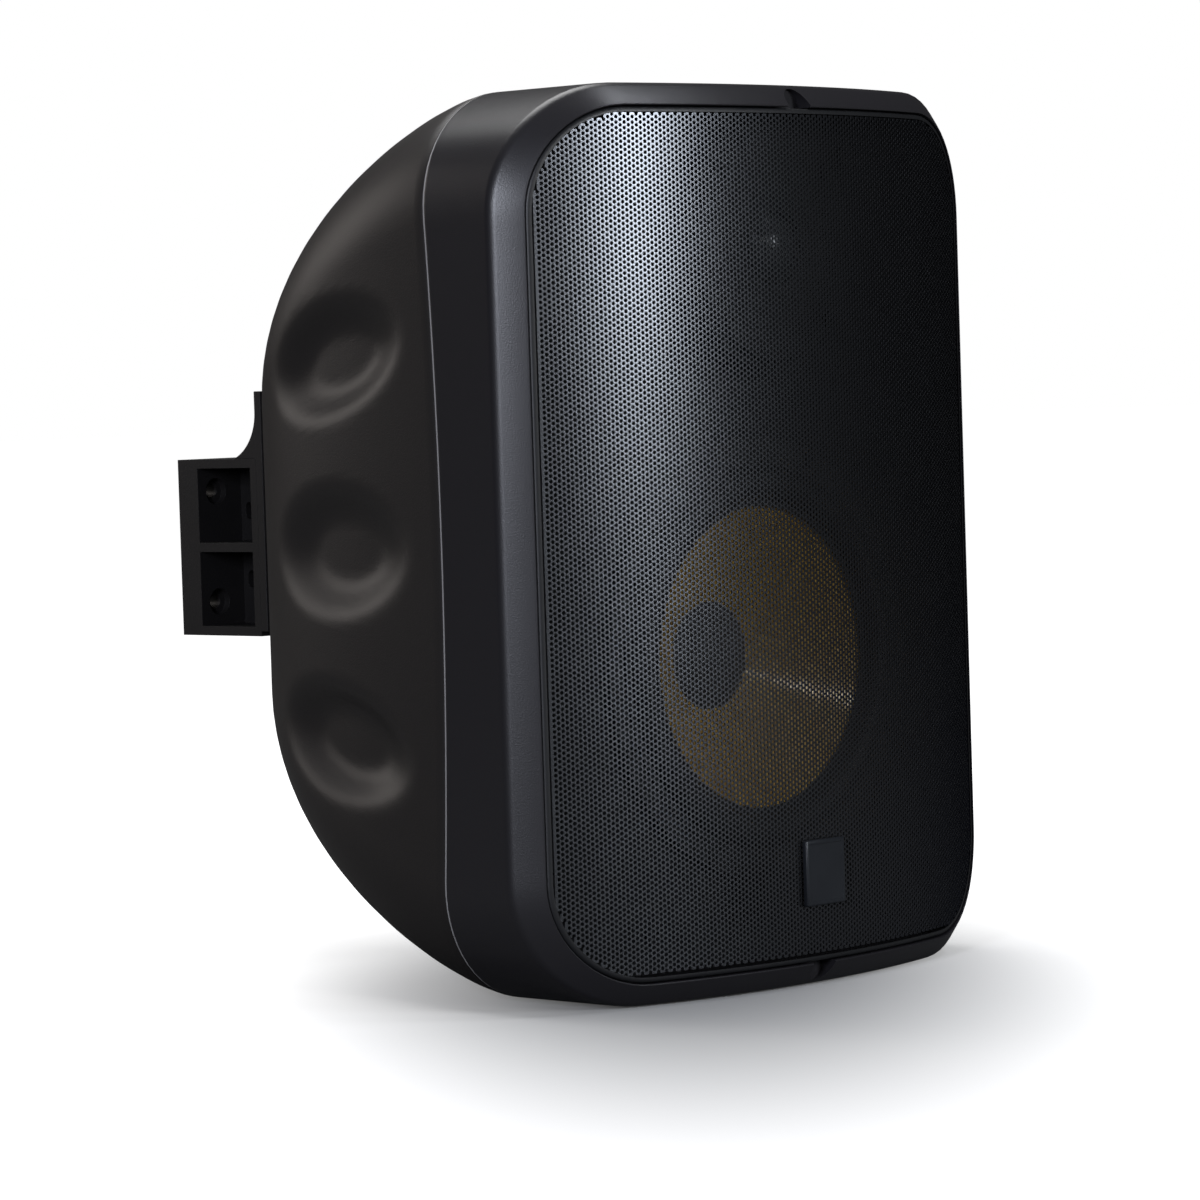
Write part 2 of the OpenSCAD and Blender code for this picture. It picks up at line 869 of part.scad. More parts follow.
// A screw that points along +Z, with its head's seat at the origin
module turned_screw(r, l) {
    rotate([90, 0, 0])
        screw(r, l, 0);
}

// The woven cone
module woofer_cone() {
    neck = coil_r + former_t;
    color([0.62, 0.5, 0.28])
        at_woofer()
            rotate_extrude()
                polygon([
                    [cone_r, 0], [neck, cone_d], [neck, cone_d + 1.5 * cone_t],
                    [cone_r - 0.2, 1.4 * cone_t]
                ]);
}

// Depth of the cone's face at a radius
function cone_depth(r) = cone_d * (cone_r - r) / (cone_r - coil_r - former_t);

module dust_cap() {
    ball_r = (cap_r * cap_r + cap_h * cap_h) / (2 * cap_h);
    seat = cone_depth(cap_r);
    color([0.22, 0.21, 0.2])
        at_woofer()
            rotate_extrude()
                intersection() {
                    translate([0, seat - cap_h + ball_r])
                        difference() {
                            circle(ball_r, $fn = 200);
                            circle(ball_r - 0.6, $fn = 200);
                        }
                    translate([0, seat - 2 * cap_h])
                        square([cap_r, 2 * cap_h]);
                }
}

module coil_former() {
    color([0.45, 0.33, 0.2])
        at_woofer()
            plate_ring(coil_r + former_t, coil_r, cone_d - 3, former_end - cone_d + 3);
}

module voice_coil() {
    color([0.72, 0.42, 0.2])
        at_woofer()
            plate_ring(coil_r + former_t + wire_t, coil_r + former_t, basket_d - 2, top_plate_t + 4);
}

// Tweeter: depths below count from the front of its faceplate
small_plate_t = 4;
small_magnet_t = 10;
small_yoke_t = 4;
dome_seat = 2.5;
small_gap = 0.45;
small_wire_t = 0.35;
small_roll_w = 2.2;
small_tag_x = 5;
small_tag_w = 3;

module at_tweeter() {
    facing_front(tweeter_d, tweeter_rise)
        children();
}

// Faceplate with a shallow flare round the dome
flare_in = dome_r + small_roll_w + 0.3;
flare_out = face_r - 14;
face_edge = 0.8;

module tweeter_faceplate() {
    color(black_plastic)
        at_tweeter()
            difference() {
                rotate_extrude()
                    polygon([
                        [flare_in, 1.8], [flare_out, 0.2], [flare_out + 1.5, 0],
                        [face_r - face_edge, 0], [face_r, face_edge], [face_r, face_t],
                        [flare_in, face_t]
                    ]);
                translate([0, 0, -cut])
                    round_z(4, tweeter_screw_r, 45)
                        cylinder(r = screw_r, h = face_t + 2 * cut);
            }
}

module tweeter_dome() {
    ball_r = (dome_r * dome_r + dome_h * dome_h) / (2 * dome_h);
    color([0.55, 0.56, 0.58])
        at_tweeter()
            rotate_extrude()
                intersection() {
                    translate([0, dome_seat - dome_h + ball_r])
                        difference() {
                            circle(ball_r, $fn = 120);
                            circle(ball_r - 0.3, $fn = 120);
                        }
                    translate([0, dome_seat - 2 * dome_h])
                        square([dome_r, 2 * dome_h]);
                }
}

module tweeter_surround() {
    inner = dome_r + 0.1;
    color([0.06, 0.06, 0.06])
        at_tweeter()
            rotate_extrude() {
                intersection() {
                    translate([inner + small_roll_w / 2, face_t - 0.3])
                        difference() {
                            circle(small_roll_w / 2, $fn = 32);
                            circle(small_roll_w / 2 - 0.3, $fn = 32);
                        }
                    translate([inner - cut, face_t - 3])
                        square([small_roll_w + 2 * cut, 2.7]);
                }
                translate([inner + small_roll_w - 0.3, face_t - 0.3])
                    square([0.45, 0.3]);
            }
}

module tweeter_coil() {
    color([0.72, 0.42, 0.2])
        at_tweeter()
            plate_ring(dome_r, dome_r - small_wire_t, dome_seat, 6);
}

module tweeter_top_plate() {
    color(steel)
        at_tweeter()
            plate_ring(small_magnet_r, dome_r + small_gap, face_t, small_plate_t);
}

module tweeter_magnet() {
    color([0.16, 0.16, 0.17])
        at_tweeter()
            plate_ring(small_magnet_r, dome_r + 8, face_t + small_plate_t, small_magnet_t);
}

module tweeter_yoke() {
    color(steel)
        at_tweeter() {
            translate([0, 0, face_t + small_plate_t + small_magnet_t])
                cylinder(r = small_magnet_r - 2, h = small_yoke_t);
            translate([0, 0, face_t])
                cylinder(r = dome_r - small_wire_t - small_gap, h = small_plate_t + small_magnet_t + cut);
        }
}

module tweeter_terminals() {
    color(brass)
        at_tweeter()
            for (x = [-small_tag_x, small_tag_x])
                translate([x - small_tag_w / 2, small_magnet_r - 2 - tag_l,
                           face_t + small_plate_t + small_magnet_t + small_yoke_t])
                    cube([small_tag_w, tag_l, tag_t]);
}

module tweeter_screws() {
    color(dark_metal)
        at_tweeter()
            round_z(4, tweeter_screw_r, 45)
                turned_screw(small_screw_r, face_t + 10);
}

// Electronics: x and z places count from the board's middle
module at_board() {
    translate([0, board_y - board_t, cabinet_lift - board_drop])
        children();
}

module circuit_board() {
    color([0.08, 0.3, 0.16])
        difference() {
            at_board()
                block(board_w, board_h, 0, board_t);
            at_board()
                at_corners(board_screw_w, board_screw_h)
                    rod_y(small_screw_r + 0.2, -cut, board_t + cut);
        }
}

module board_screws() {
    color(steel)
        at_board()
            at_corners(board_screw_w, board_screw_h)
                screw(small_screw_r, board_t + 6, 0);
}

// A finned block on the amplifier chips, near the board's upper corner
fins = 7;
fin_t = 2.8;
heatsink_base = 4;
heatsink_w = 56;
heatsink_h = 34;
heatsink_d = 22;

module heatsink() {
    pitch = heatsink_w / fins;
    color([0.2, 0.2, 0.21])
        at_board()
            translate([10 + (heatsink_w - board_w) / 2, 0, (board_h - heatsink_h) / 2 - 12])
                difference() {
                    block(heatsink_w, heatsink_h, -heatsink_d, 0);
                    for (i = [0:fins - 1])
                        translate([(i - (fins - 1) / 2) * pitch, 0, 0])
                            block(pitch - fin_t, heatsink_h + 2 * cut,
                                  -heatsink_d - cut, -heatsink_base);
                }
}

core_w = 30;
core_h = 34;
core_d = 20;
core_base = 6;

module isolation_transformer() {
    color([0.75, 0.65, 0.2])
        at_board()
            translate([(board_w - core_w) / 2 - 11, 0, (board_h - core_h) / 2 - 14]) {
                block(core_w, core_h, -core_base, 0);
                block(core_w - 6, core_h - 6, -core_d, -core_base);
            }
}

can_r = 6.3;
can_l = 22;
can_pitch = 15;
can_z = -4;

module storage_capacitors() {
    color([0.1, 0.12, 0.25])
        at_board()
            for (i = [0:3])
                translate([18 - board_w / 2 + i * can_pitch, 0, can_z])
                    rod_y(can_r, -can_l, 0);
}

coil_core_r = 8;
coil_hole_r = 3;
coil_l = 9;
coil_pitch = 19;
coil_z = -24;

module filter_coils() {
    color([0.6, 0.35, 0.18])
        at_board()
            for (i = [0:3])
                translate([18 - board_w / 2 + i * coil_pitch, 0, coil_z])
                    difference() {
                        rod_y(coil_core_r, -coil_l, 0);
                        rod_y(coil_hole_r, -coil_l - cut, cut);
                    }
}

chip_w = 18;
chip_t = 1.6;
chip_z = -12;

module network_chip() {
    color([0.1, 0.1, 0.1])
        at_board()
            translate([board_w / 2 - 22, 0, chip_z])
                block(chip_w, chip_w, -chip_t, 0);
}

// The parts that show through the connector panel
jack_w = 16;
jack_h = 14;
jack_x = -17;
socket_w = 12.2;
socket_h = 8.6;
socket_d = 14;
block_x = 7;
block_w = 24;
block_h = 12;
poles = 4;
pole_pitch = 5.6;
wire_hole_w = 4.4;
wire_hole_h = 4.6;
wire_hole_z = -2.2;
pole_screw_r = 1.6;
pole_screw_z = 3;
pole_depth = 6;
reset_x = 23;
reset_z = -5;
reset_r = 1.6;
reset_foot_r = 2.6;
reset_foot_t = 3;
light_z = 6;
light_r = 1.4;
window_gap = 0.3;
panel_rear_y = back_y + panel_t;
panel_z = cabinet_lift - panel_drop;
block_end_y = panel_rear_y - 0.4;

module network_jack() {
    color([0.72, 0.73, 0.75])
        translate([jack_x, 0, panel_z])
            difference() {
                block(jack_w, jack_h, board_y, block_end_y);
                block(socket_w, socket_h, panel_rear_y - socket_d, panel_rear_y + cut);
            }
}

// Copies for each pole of the terminal block
module at_poles() {
    for (i = [0:poles - 1])
        translate([block_x + (i - (poles - 1) / 2) * pole_pitch, 0, panel_z])
            children();
}

module terminal_block() {
    color([0.12, 0.35, 0.2])
        difference() {
            translate([block_x, 0, panel_z])
                block(block_w, block_h, board_y, block_end_y);
            at_poles()
                translate([0, 0, wire_hole_z])
                    block(wire_hole_w, wire_hole_h, block_end_y - 9, panel_rear_y + cut);
            at_poles()
                translate([0, 0, pole_screw_z])
                    rod_y(pole_screw_r + 0.1, panel_rear_y - pole_depth, panel_rear_y + cut);
        }
}

module terminal_screws() {
    top_y = panel_rear_y - 1.5;
    color(steel)
        at_poles()
            translate([0, 0, pole_screw_z])
                difference() {
                    rod_y(pole_screw_r, panel_rear_y - pole_depth, top_y);
                    translate([0, top_y, 0])
                        cube([2.5 * pole_screw_r, 1.2, 0.6], center = true);
                }
}

// A clear pipe over the board's status light
module status_light() {
    color([0.3, 0.85, 0.5])
        translate([reset_x, 0, panel_z + light_z])
            rod_y(light_r, board_y, panel_rear_y + 0.4);
}

module reset_button() {
    foot_y = board_y + reset_travel + 0.3;
    color([0.75, 0.12, 0.1])
        translate([reset_x, 0, panel_z + reset_z]) {
            rod_y(reset_foot_r, foot_y, foot_y + reset_foot_t);
            rod_y(reset_r, foot_y, panel_rear_y + 0.2);
        }
}

module connector_panel() {
    color(black_plastic)
        translate([0, 0, panel_z])
            difference() {
                slab(panel_w, panel_h, 3, back_y, panel_rear_y);
                translate([jack_x, 0, 0])
                    block(jack_w + 2 * window_gap, jack_h + 2 * window_gap,
                          back_y - cut, panel_rear_y + cut);
                translate([block_x, 0, 0])
                    block(block_w + 2 * window_gap, block_h + 2 * window_gap,
                          back_y - cut, panel_rear_y + cut);
                translate([reset_x, 0, light_z])
                    rod_y(light_r + 0.2, back_y - cut, panel_rear_y + cut);
                translate([reset_x, 0, reset_z])
                    rod_y(reset_r + window_gap, back_y - cut, panel_rear_y + cut);
                at_corners(panel_screw_w, panel_screw_h)
                    rod_y(small_screw_r + 0.2, back_y - cut, panel_rear_y + cut);
            }
}

// The seal fills the rear shell's cut-out round the connectors
panel_seal_t = 2.5;

module panel_gasket() {
    color([0.06, 0.06, 0.06])
        translate([0, 0, panel_z])
            difference() {
                block(panel_hole_w, panel_hole_h, inner_back_y, back_y);
                block(panel_hole_w - 2 * panel_seal_t, panel_hole_h - 2 * panel_seal_t,
                      inner_back_y - cut, back_y + cut);
            }
}

module panel_screws() {
    color(dark_metal)
        translate([0, 0, panel_z])
            at_corners(panel_screw_w, panel_screw_h)
                translate([0, panel_rear_y, 0])
                    rotate([0, 0, 180])
                        screw(small_screw_r, panel_t + wall_t + 2, 0);
}

// Leads from the board to the drivers: they leave square, and end square on their tags
lead_r = 1;
lead_end = 2;
woofer_lead_x = 14;
tweeter_lead_x = 5;

function lead_path(a, b, slack) = concat(
    [a],
    curve([a - [0, lead_end, 0], a - [0, slack, 0], b + [0, slack, 0], b + [0, lead_end, 0]], 12),
    [b]
);

module woofer_leads() {
    start = [woofer_lead_x, board_y - board_t, cabinet_lift - board_drop - board_h / 2 + 5];
    end_y = front_y + woofer_d + ledge_d + tag_back;
    end_z = cabinet_lift - woofer_drop - pan_r - tag_l + 3;
    color([0.55, 0.1, 0.1])
        for (x = [-tag_x, tag_x])
            lead(lead_path(start + [x, 0, 0], [x, end_y, end_z], 40), lead_r);
}

module tweeter_leads() {
    start = [tweeter_lead_x, board_y - board_t, cabinet_lift - board_drop + board_h / 2 - 5];
    end_y = front_y + tweeter_d + face_t + small_plate_t + small_magnet_t + small_yoke_t + tag_t;
    end_z = cabinet_lift + tweeter_rise - small_magnet_r + 5;
    color([0.1, 0.1, 0.5])
        for (x = [-small_tag_x, small_tag_x])
            lead(lead_path(start + [x, 0, 0], [x, end_y, end_z], 60), lead_r);
}

// Wall bracket: bar, three ribs, web and front flange, cast in one piece
web_w = 28;
web_step = 3;
slot_y = 5;
slot_z = 14.3;
slot_r = 2.4;
slot_l = 2.4;
sink_t = 3;
latch_bore = 14;

module wall_bracket() {
    rib_z = (bracket_h - rib_t) / 2;
    color(dark_metal)
        difference() {
            union() {
                block(bracket_w, bracket_h, -bar_t, 0);
                for (z = [-rib_z, 0, rib_z])
                    translate([0, 0, z])
                        block(bracket_w, rib_t, -bar_t - rib_d - cut, -bar_t + cut);
                block(web_w, bracket_h, -bar_t - rib_d - cut, -bar_t + cut);
                block(web_w + 2 * web_step, bracket_h, bracket_front_y, -bar_t - rib_d / 2);
                block(bracket_w, bracket_h, bracket_front_y, bracket_front_y + rib_t);
            }
            at_corners(wall_hole_x, wall_hole_z) {
                rod_y(wall_hole_r, bracket_front_y - cut, cut);
                rod_y(2 * wall_hole_r, bracket_front_y - cut, -bar_t + sink_t);
            }
            for (z = [-1, 1])
                translate([0, -bar_t - slot_y, z * slot_z])
                    slot_x(slot_r, slot_l);
            translate([0, 0, -latch_drop])
                rod_y(latch_r, bracket_front_y - cut, bracket_front_y + latch_bore);
        }
}

// An upright slot through the web, along X
module slot_x(r, tall) {
    l = web_w + 4 * web_step;
    for (z = [-tall / 2, tall / 2])
        translate([-l / 2, 0, z])
            rotate([0, 90, 0])
                cylinder(r = r, h = l);
    cube([l, 2 * r, tall], center = true);
}

latch_r = 3;
latch_drop = 28;
hook_w = bracket_w;
hook_bottom = bracket_h / 2 - 2;
knuckle_gap = 0.9;
knuckle_h = barrel_h + 2 * lug_gap + 2 * lug_t;

// The plate that hooks over the bracket, with the two lugs of the pan pivot
module hook_plate() {
    color(dark_metal)
        difference() {
            union() {
                translate([-hook_w / 2, hook_y, -hook_bottom])
                    cube([hook_w, hook_t, hook_bottom + hook_top]);
                translate([-hook_w / 2, bracket_front_y, bracket_h / 2])
                    cube([hook_w, hook_reach, cove_rise]);
                block(2 * lug_r, knuckle_h, -pan_y, hook_y + cut);
                translate([0, -pan_y, 0])
                    cylinder(r = lug_r, h = knuckle_h, center = true);
            }
            translate([0, bracket_front_y + hook_reach, bracket_h / 2 + cove_rise])
                cove(hook_reach, cove_rise);
            translate([0, -pan_y, 0])
                cylinder(r = lug_r + knuckle_gap, h = barrel_h + 2 * lug_gap, center = true);
            translate([0, -pan_y - lug_r, 0])
                cube([3 * lug_r, 2 * lug_r, barrel_h + 2 * lug_gap], center = true);
            translate([0, -pan_y, 0])
                cylinder(r = pin_r, h = knuckle_h + 2 * cut, center = true);
            translate([0, 0, -latch_drop])
                rod_y(latch_r + 0.2, hook_y - cut, bracket_front_y + cut);
        }
}

// A round cove along X: reach and rise are its two sides
module cove(reach, rise) {
    translate([0, (rise * rise - reach * reach) / (2 * reach), 0])
        rotate([0, 90, 0])
            cylinder(r = (rise * rise + reach * reach) / (2 * reach), h = hook_w + 2 * cut,
                     center = true, $fn = 120);
}

module latch_screw() {
    color(steel)
        translate([0, 0, -latch_drop])
            screw(latch_r, hook_t + latch_bore - 4, hook_y);
}

pin_end = 2;
clip_t = 1.2;

module pan_pin() {
    color(steel)
        translate([0, -pan_y, 0])
            cylinder(r = pin_r, h = knuckle_h + 2 * pin_end, center = true);
}

// Push-on rings that hold the pin at both ends
module pan_pin_clips() {
    color(steel)
        for (s = [-1, 1])
            translate([0, -pan_y, s * (knuckle_h + clip_t) / 2])
                difference() {
                    cylinder(r = pin_r + 2.5, h = clip_t, center = true);
                    cylinder(r = pin_r, h = clip_t + cut, center = true);
                }
}

// The neck: an upright barrel on the pan pin and a level one on the tilt bolt
module swivel_neck() {
    color(dark_metal)
        difference() {
            union() {
                translate([0, -pan_y, 0])
                    cylinder(r = lug_r, h = barrel_h, center = true);
                translate([0, -tilt_y, 0])
                    rotate([0, 90, 0])
                        cylinder(r = lug_r, h = barrel_h, center = true);
                block(0.75 * barrel_h, 1.6 * lug_r, -tilt_y, -pan_y);
            }
            translate([0, -pan_y, 0])
                cylinder(r = pin_r + pivot_gap, h = barrel_h + 2 * cut, center = true);
            translate([0, -tilt_y, 0])
                rotate([0, 90, 0])
                    cylinder(r = bolt_r + pivot_gap, h = barrel_h + 2 * cut, center = true);
        }
}

ear_x = barrel_h / 2 + lug_gap;
ear_end = ear_x + lug_t;

// The plate on the cabinet's back, with the two ears of the tilt pivot
module mount_plate() {
    color(dark_metal)
        difference() {
            union() {
                slab(back_w - 6, plate_h, 5, back_y, plate_y);
                for (s = [-1, 1])
                    translate([s * (ear_x + ear_end) / 2, 0, 0]) {
                        translate([0, -tilt_y, 0])
                            rotate([0, 90, 0])
                                cylinder(r = lug_r, h = lug_t, center = true);
                        block(lug_t, 2 * lug_r, back_y + cut, -tilt_y);
                    }
            }
            translate([0, -tilt_y, 0])
                rotate([0, 90, 0])
                    cylinder(r = bolt_r, h = 2 * ear_end + 2 * cut, center = true);
            at_corners(mount_screw_w, mount_screw_h)
                rod_y(big_screw_r + 0.2, back_y - cut, plate_y + cut);
        }
}

module mount_screws() {
    color(steel)
        at_corners(mount_screw_w, mount_screw_h)
            translate([0, plate_y, 0])
                rotate([0, 0, 180])
                    screw(big_screw_r, plate_t + insert_l - 1, 0);
}

// Brass bushes moulded into the shell's bosses
module mount_inserts() {
    color(brass)
        at_corners(mount_screw_w, mount_screw_h)
            difference() {
                rod_y(insert_r, back_y - insert_l, back_y);
                rod_y(big_screw_r, back_y - insert_l - cut, back_y + cut);
            }
}

washer_t = 1.2;
bolt_head_t = 6;
nut_t = 6.5;
bolt_end = nut_t + 2.5;

module tilt_bolt() {
    color(steel)
        translate([0, -tilt_y, 0])
            rotate([0, 90, 0]) {
                translate([0, 0, -ear_end - washer_t])
                    cylinder(r = bolt_r, h = 2 * ear_end + 2 * washer_t + bolt_end);
                translate([0, 0, -ear_end - washer_t - bolt_head_t])
                    difference() {
                        cylinder(r = 1.6 * bolt_r, h = bolt_head_t);
                        translate([0, 0, -cut])
                            cylinder(r = bolt_r * 0.7, h = bolt_head_t - 2 + cut, $fn = 6);
                    }
            }
}

module tilt_washers() {
    color(steel)
        for (s = [-1, 1])
            translate([s * (ear_end + washer_t / 2), -tilt_y, 0])
                rotate([0, 90, 0])
                    difference() {
                        cylinder(r = 2 * bolt_r, h = washer_t, center = true);
                        cylinder(r = bolt_r, h = washer_t + cut, center = true);
                    }
}

module tilt_nut() {
    color(steel)
        translate([ear_end + washer_t, -tilt_y, 0])
            rotate([0, 90, 0])
                difference() {
                    cylinder(r = 1.8 * bolt_r, h = nut_t, $fn = 6);
                    translate([0, 0, -cut])
                        cylinder(r = bolt_r, h = nut_t + 2 * cut);
                }
}

wall_bracket();
hook_plate();
latch_screw();
pan_pin();
pan_pin_clips();
swivel_neck();
mount_plate();
mount_screws();
mount_inserts();
tilt_bolt();
tilt_washers();
tilt_nut();
rear_cabinet();
cabinet_gasket();
front_frame();
frame_screws();
grille();
badge_plate();
woofer_basket();
woofer_gasket();
woofer_top_plate();
woofer_magnet();
woofer_yoke();
woofer_surround();
woofer_spider();
woofer_terminals();
woofer_screws();
woofer_cone();
dust_cap();
coil_former();
voice_coil();
tweeter_faceplate();
tweeter_surround();
tweeter_top_plate();
tweeter_magnet();
tweeter_yoke();
tweeter_terminals();
tweeter_screws();
tweeter_dome();
tweeter_coil();
circuit_board();
board_screws();
heatsink();
isolation_transformer();
storage_capacitors();
filter_coils();
network_chip();
network_jack();
terminal_block();
terminal_screws();
status_light();
reset_button();
connector_panel();
panel_gasket();
panel_screws();
woofer_leads();
tweeter_leads();
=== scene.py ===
import json
from math import atan2, cos, pi, radians, sin, sqrt, tan

import bmesh
import bpy
import numpy as np
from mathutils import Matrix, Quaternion, Vector


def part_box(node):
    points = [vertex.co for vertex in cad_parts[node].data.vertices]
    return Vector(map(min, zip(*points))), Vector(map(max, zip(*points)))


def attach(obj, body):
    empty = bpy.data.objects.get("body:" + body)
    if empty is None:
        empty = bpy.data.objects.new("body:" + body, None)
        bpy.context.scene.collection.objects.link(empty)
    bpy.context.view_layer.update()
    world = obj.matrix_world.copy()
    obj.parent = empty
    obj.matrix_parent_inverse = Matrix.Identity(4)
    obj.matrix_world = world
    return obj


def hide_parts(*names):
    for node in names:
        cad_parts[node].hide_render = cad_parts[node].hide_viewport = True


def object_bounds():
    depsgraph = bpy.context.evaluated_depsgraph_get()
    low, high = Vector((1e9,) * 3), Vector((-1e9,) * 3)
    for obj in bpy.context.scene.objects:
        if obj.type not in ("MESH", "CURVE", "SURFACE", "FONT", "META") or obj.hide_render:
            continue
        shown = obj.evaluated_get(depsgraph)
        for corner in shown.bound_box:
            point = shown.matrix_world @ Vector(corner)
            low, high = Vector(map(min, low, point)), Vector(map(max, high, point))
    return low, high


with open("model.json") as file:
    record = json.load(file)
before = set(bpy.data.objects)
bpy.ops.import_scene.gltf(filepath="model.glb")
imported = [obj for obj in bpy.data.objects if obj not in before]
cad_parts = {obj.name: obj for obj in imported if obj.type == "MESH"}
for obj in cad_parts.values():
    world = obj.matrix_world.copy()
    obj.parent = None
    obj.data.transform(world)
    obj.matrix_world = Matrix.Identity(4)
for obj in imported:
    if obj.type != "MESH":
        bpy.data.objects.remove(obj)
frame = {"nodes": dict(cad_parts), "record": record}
cad_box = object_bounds()
bpy.ops.object.select_all(action="DESELECT")

# Camera. A long lens that stands to the left of the speaker's front, a little above its
# middle, and leans by less than two degrees.
camera_place = Vector((-1.3684, -1.5133, 0.0633))
camera_aim = Vector((0.0078, -0.197, -0.0228))
camera_lean = -0.0317
camera_data = bpy.data.cameras.new("camera")
camera_data.sensor_width = 36
camera_data.lens = 144.5
camera = bpy.data.objects.new("camera", camera_data)
bpy.context.scene.collection.objects.link(camera)
camera.location = camera_place
camera.rotation_mode = "QUATERNION"
look = (camera_aim - camera_place).to_track_quat("-Z", "Y")
camera.rotation_quaternion = look @ Quaternion((0, 0, 1), camera_lean)
bpy.context.scene.camera = camera

# Wall bracket and hook plate. Die-cast aluminium with a black powder coat: the bracket is
# screwed to the wall through its pockets and the plate hooks over its top edge.
mm = 0.001


def new_material(name, color, roughness, metallic=0.0):
    """A material whose shader holds the plain values; it returns its tree and shader too."""
    made = bpy.data.materials.new(name)
    made.use_nodes = True
    shader = made.node_tree.nodes["Principled BSDF"]
    shader.inputs["Base Color"].default_value = (*color, 1)
    shader.inputs["Roughness"].default_value = roughness
    shader.inputs["Metallic"].default_value = metallic
    made.diffuse_color = (*color, 1)
    return made, made.node_tree, shader


def add_node(tree, kind, **values):
    """Adds a node to a tree and sets the node's own choices."""
    node = tree.nodes.new(kind)
    for name, value in values.items():
        setattr(node, name, value)
    return node


def make_grain_group():
    """Fine grain of a coated or moulded surface: a normal and a slow mottle."""
    group = bpy.data.node_groups.new("grain", "ShaderNodeTree")
    face = group.interface
    for name, value in (("Scale", 900.0), ("Depth", 0.2), ("Mottle Scale", 30.0)):
        socket = face.new_socket(name=name, in_out="INPUT", socket_type="NodeSocketFloat")
        socket.default_value = value
    face.new_socket(name="Normal", in_out="OUTPUT", socket_type="NodeSocketVector")
    face.new_socket(name="Mottle", in_out="OUTPUT", socket_type="NodeSocketFloat")
    start = group.nodes.new("NodeGroupInput")
    end = group.nodes.new("NodeGroupOutput")
    place = group.nodes.new("ShaderNodeTexCoord")
    fine = add_node(group, "ShaderNodeTexNoise")
    fine.inputs["Detail"].default_value = 3
    slow = add_node(group, "ShaderNodeTexNoise")
    slow.inputs["Detail"].default_value = 4
    bump = add_node(group, "ShaderNodeBump")
    bump.inputs["Distance"].default_value = 0.0002
    link = group.links.new
    link(place.outputs["Object"], fine.inputs["Vector"])
    link(place.outputs["Object"], slow.inputs["Vector"])
    link(start.outputs["Scale"], fine.inputs["Scale"])
    link(start.outputs["Mottle Scale"], slow.inputs["Scale"])
    link(start.outputs["Depth"], bump.inputs["Strength"])
    link(fine.outputs["Fac"], bump.inputs["Height"])
    link(bump.outputs["Normal"], end.inputs["Normal"])
    link(slow.outputs["Fac"], end.inputs["Mottle"])
    return group


grain_group = make_grain_group()
tone_a, tone_b, tone_out = 6, 7, 2


def grained(name, color, roughness, metallic=0.0, scale=900.0, depth=0.2, mottle=0.12,
            mottle_scale=30.0, specular=0.5):
    """A coated, cast or moulded finish: fine grain, and a slow change of tone and gloss."""
    made, tree, shader = new_material(name, color, roughness, metallic)
    shader.inputs["Specular IOR Level"].default_value = specular
    grain = add_node(tree, "ShaderNodeGroup", node_tree=grain_group)
    grain.inputs["Scale"].default_value = scale
    grain.inputs["Depth"].default_value = depth
    grain.inputs["Mottle Scale"].default_value = mottle_scale
    tone = add_node(tree, "ShaderNodeMix", data_type="RGBA")
    tone.inputs[tone_a].default_value = (*[c * (1 - mottle) for c in color], 1)
    tone.inputs[tone_b].default_value = (*[min(1, c * (1 + mottle)) for c in color], 1)
    gloss = add_node(tree, "ShaderNodeMapRange")
    gloss.inputs["To Min"].default_value = roughness * (1 - mottle / 2)
    gloss.inputs["To Max"].default_value = min(1, roughness * (1 + mottle / 2))
    link = tree.links.new
    link(grain.outputs["Mottle"], tone.inputs[0])
    link(grain.outputs["Mottle"], gloss.inputs["Value"])
    link(tone.outputs[tone_out], shader.inputs["Base Color"])
    link(gloss.outputs["Result"], shader.inputs["Roughness"])
    link(grain.outputs["Normal"], shader.inputs["Normal"])
    return made


def finish_piece(piece, body, slot, material, *nodes):
    """Gives a piece its finish, lets it ride on its body and hides the nodes it stands for."""
    piece.data.materials.clear()
    piece.data.materials.append(material)
    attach(piece, body)
    if nodes:
        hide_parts(*nodes)


def only(piece):
    """Makes a piece the one selected and active object."""
    bpy.ops.object.select_all(action="DESELECT")
    piece.select_set(True)
    bpy.context.view_layer.objects.active = piece


def apply_modifiers(piece):
    """Makes the result of a piece's modifiers its mesh."""
    only(piece)
    for modifier in list(piece.modifiers):
        bpy.ops.object.modifier_apply(modifier=modifier.name)


body_of = {node: body for body, nodes in frame["record"]["behaviour"]["bodies"].items()
           for node in nodes}
slot_of = {row["node"]: row["material_slot"] for row in frame["record"]["subparts"]}


def eased_copy(node, width, material):
    """The piece of a node with its sharp edges rounded, as on a cast or machined part."""
    piece = bpy.data.objects.new(node + "_eased", frame["nodes"][node].data.copy())
    bpy.context.scene.collection.objects.link(piece)
    only(piece)
    bpy.ops.object.mode_set(mode="EDIT")
    bpy.ops.mesh.select_all(action="SELECT")
    bpy.ops.mesh.remove_doubles(threshold=1e-6)
    bpy.ops.mesh.dissolve_limited(angle_limit=radians(1))
    bpy.ops.object.mode_set(mode="OBJECT")
    bevel = piece.modifiers.new("edges", "BEVEL")
    bevel.width = width
    bevel.segments = 2
    bevel.limit_method = "ANGLE"
    bevel.angle_limit = radians(40)
    apply_modifiers(piece)
    bpy.ops.object.shade_smooth_by_angle(angle=radians(35))
    flatten = piece.modifiers.new("flat_faces", "WEIGHTED_NORMAL")
    flatten.keep_sharp = True
    apply_modifiers(piece)
    finish_piece(piece, body_of[node], slot_of[node], material, node)


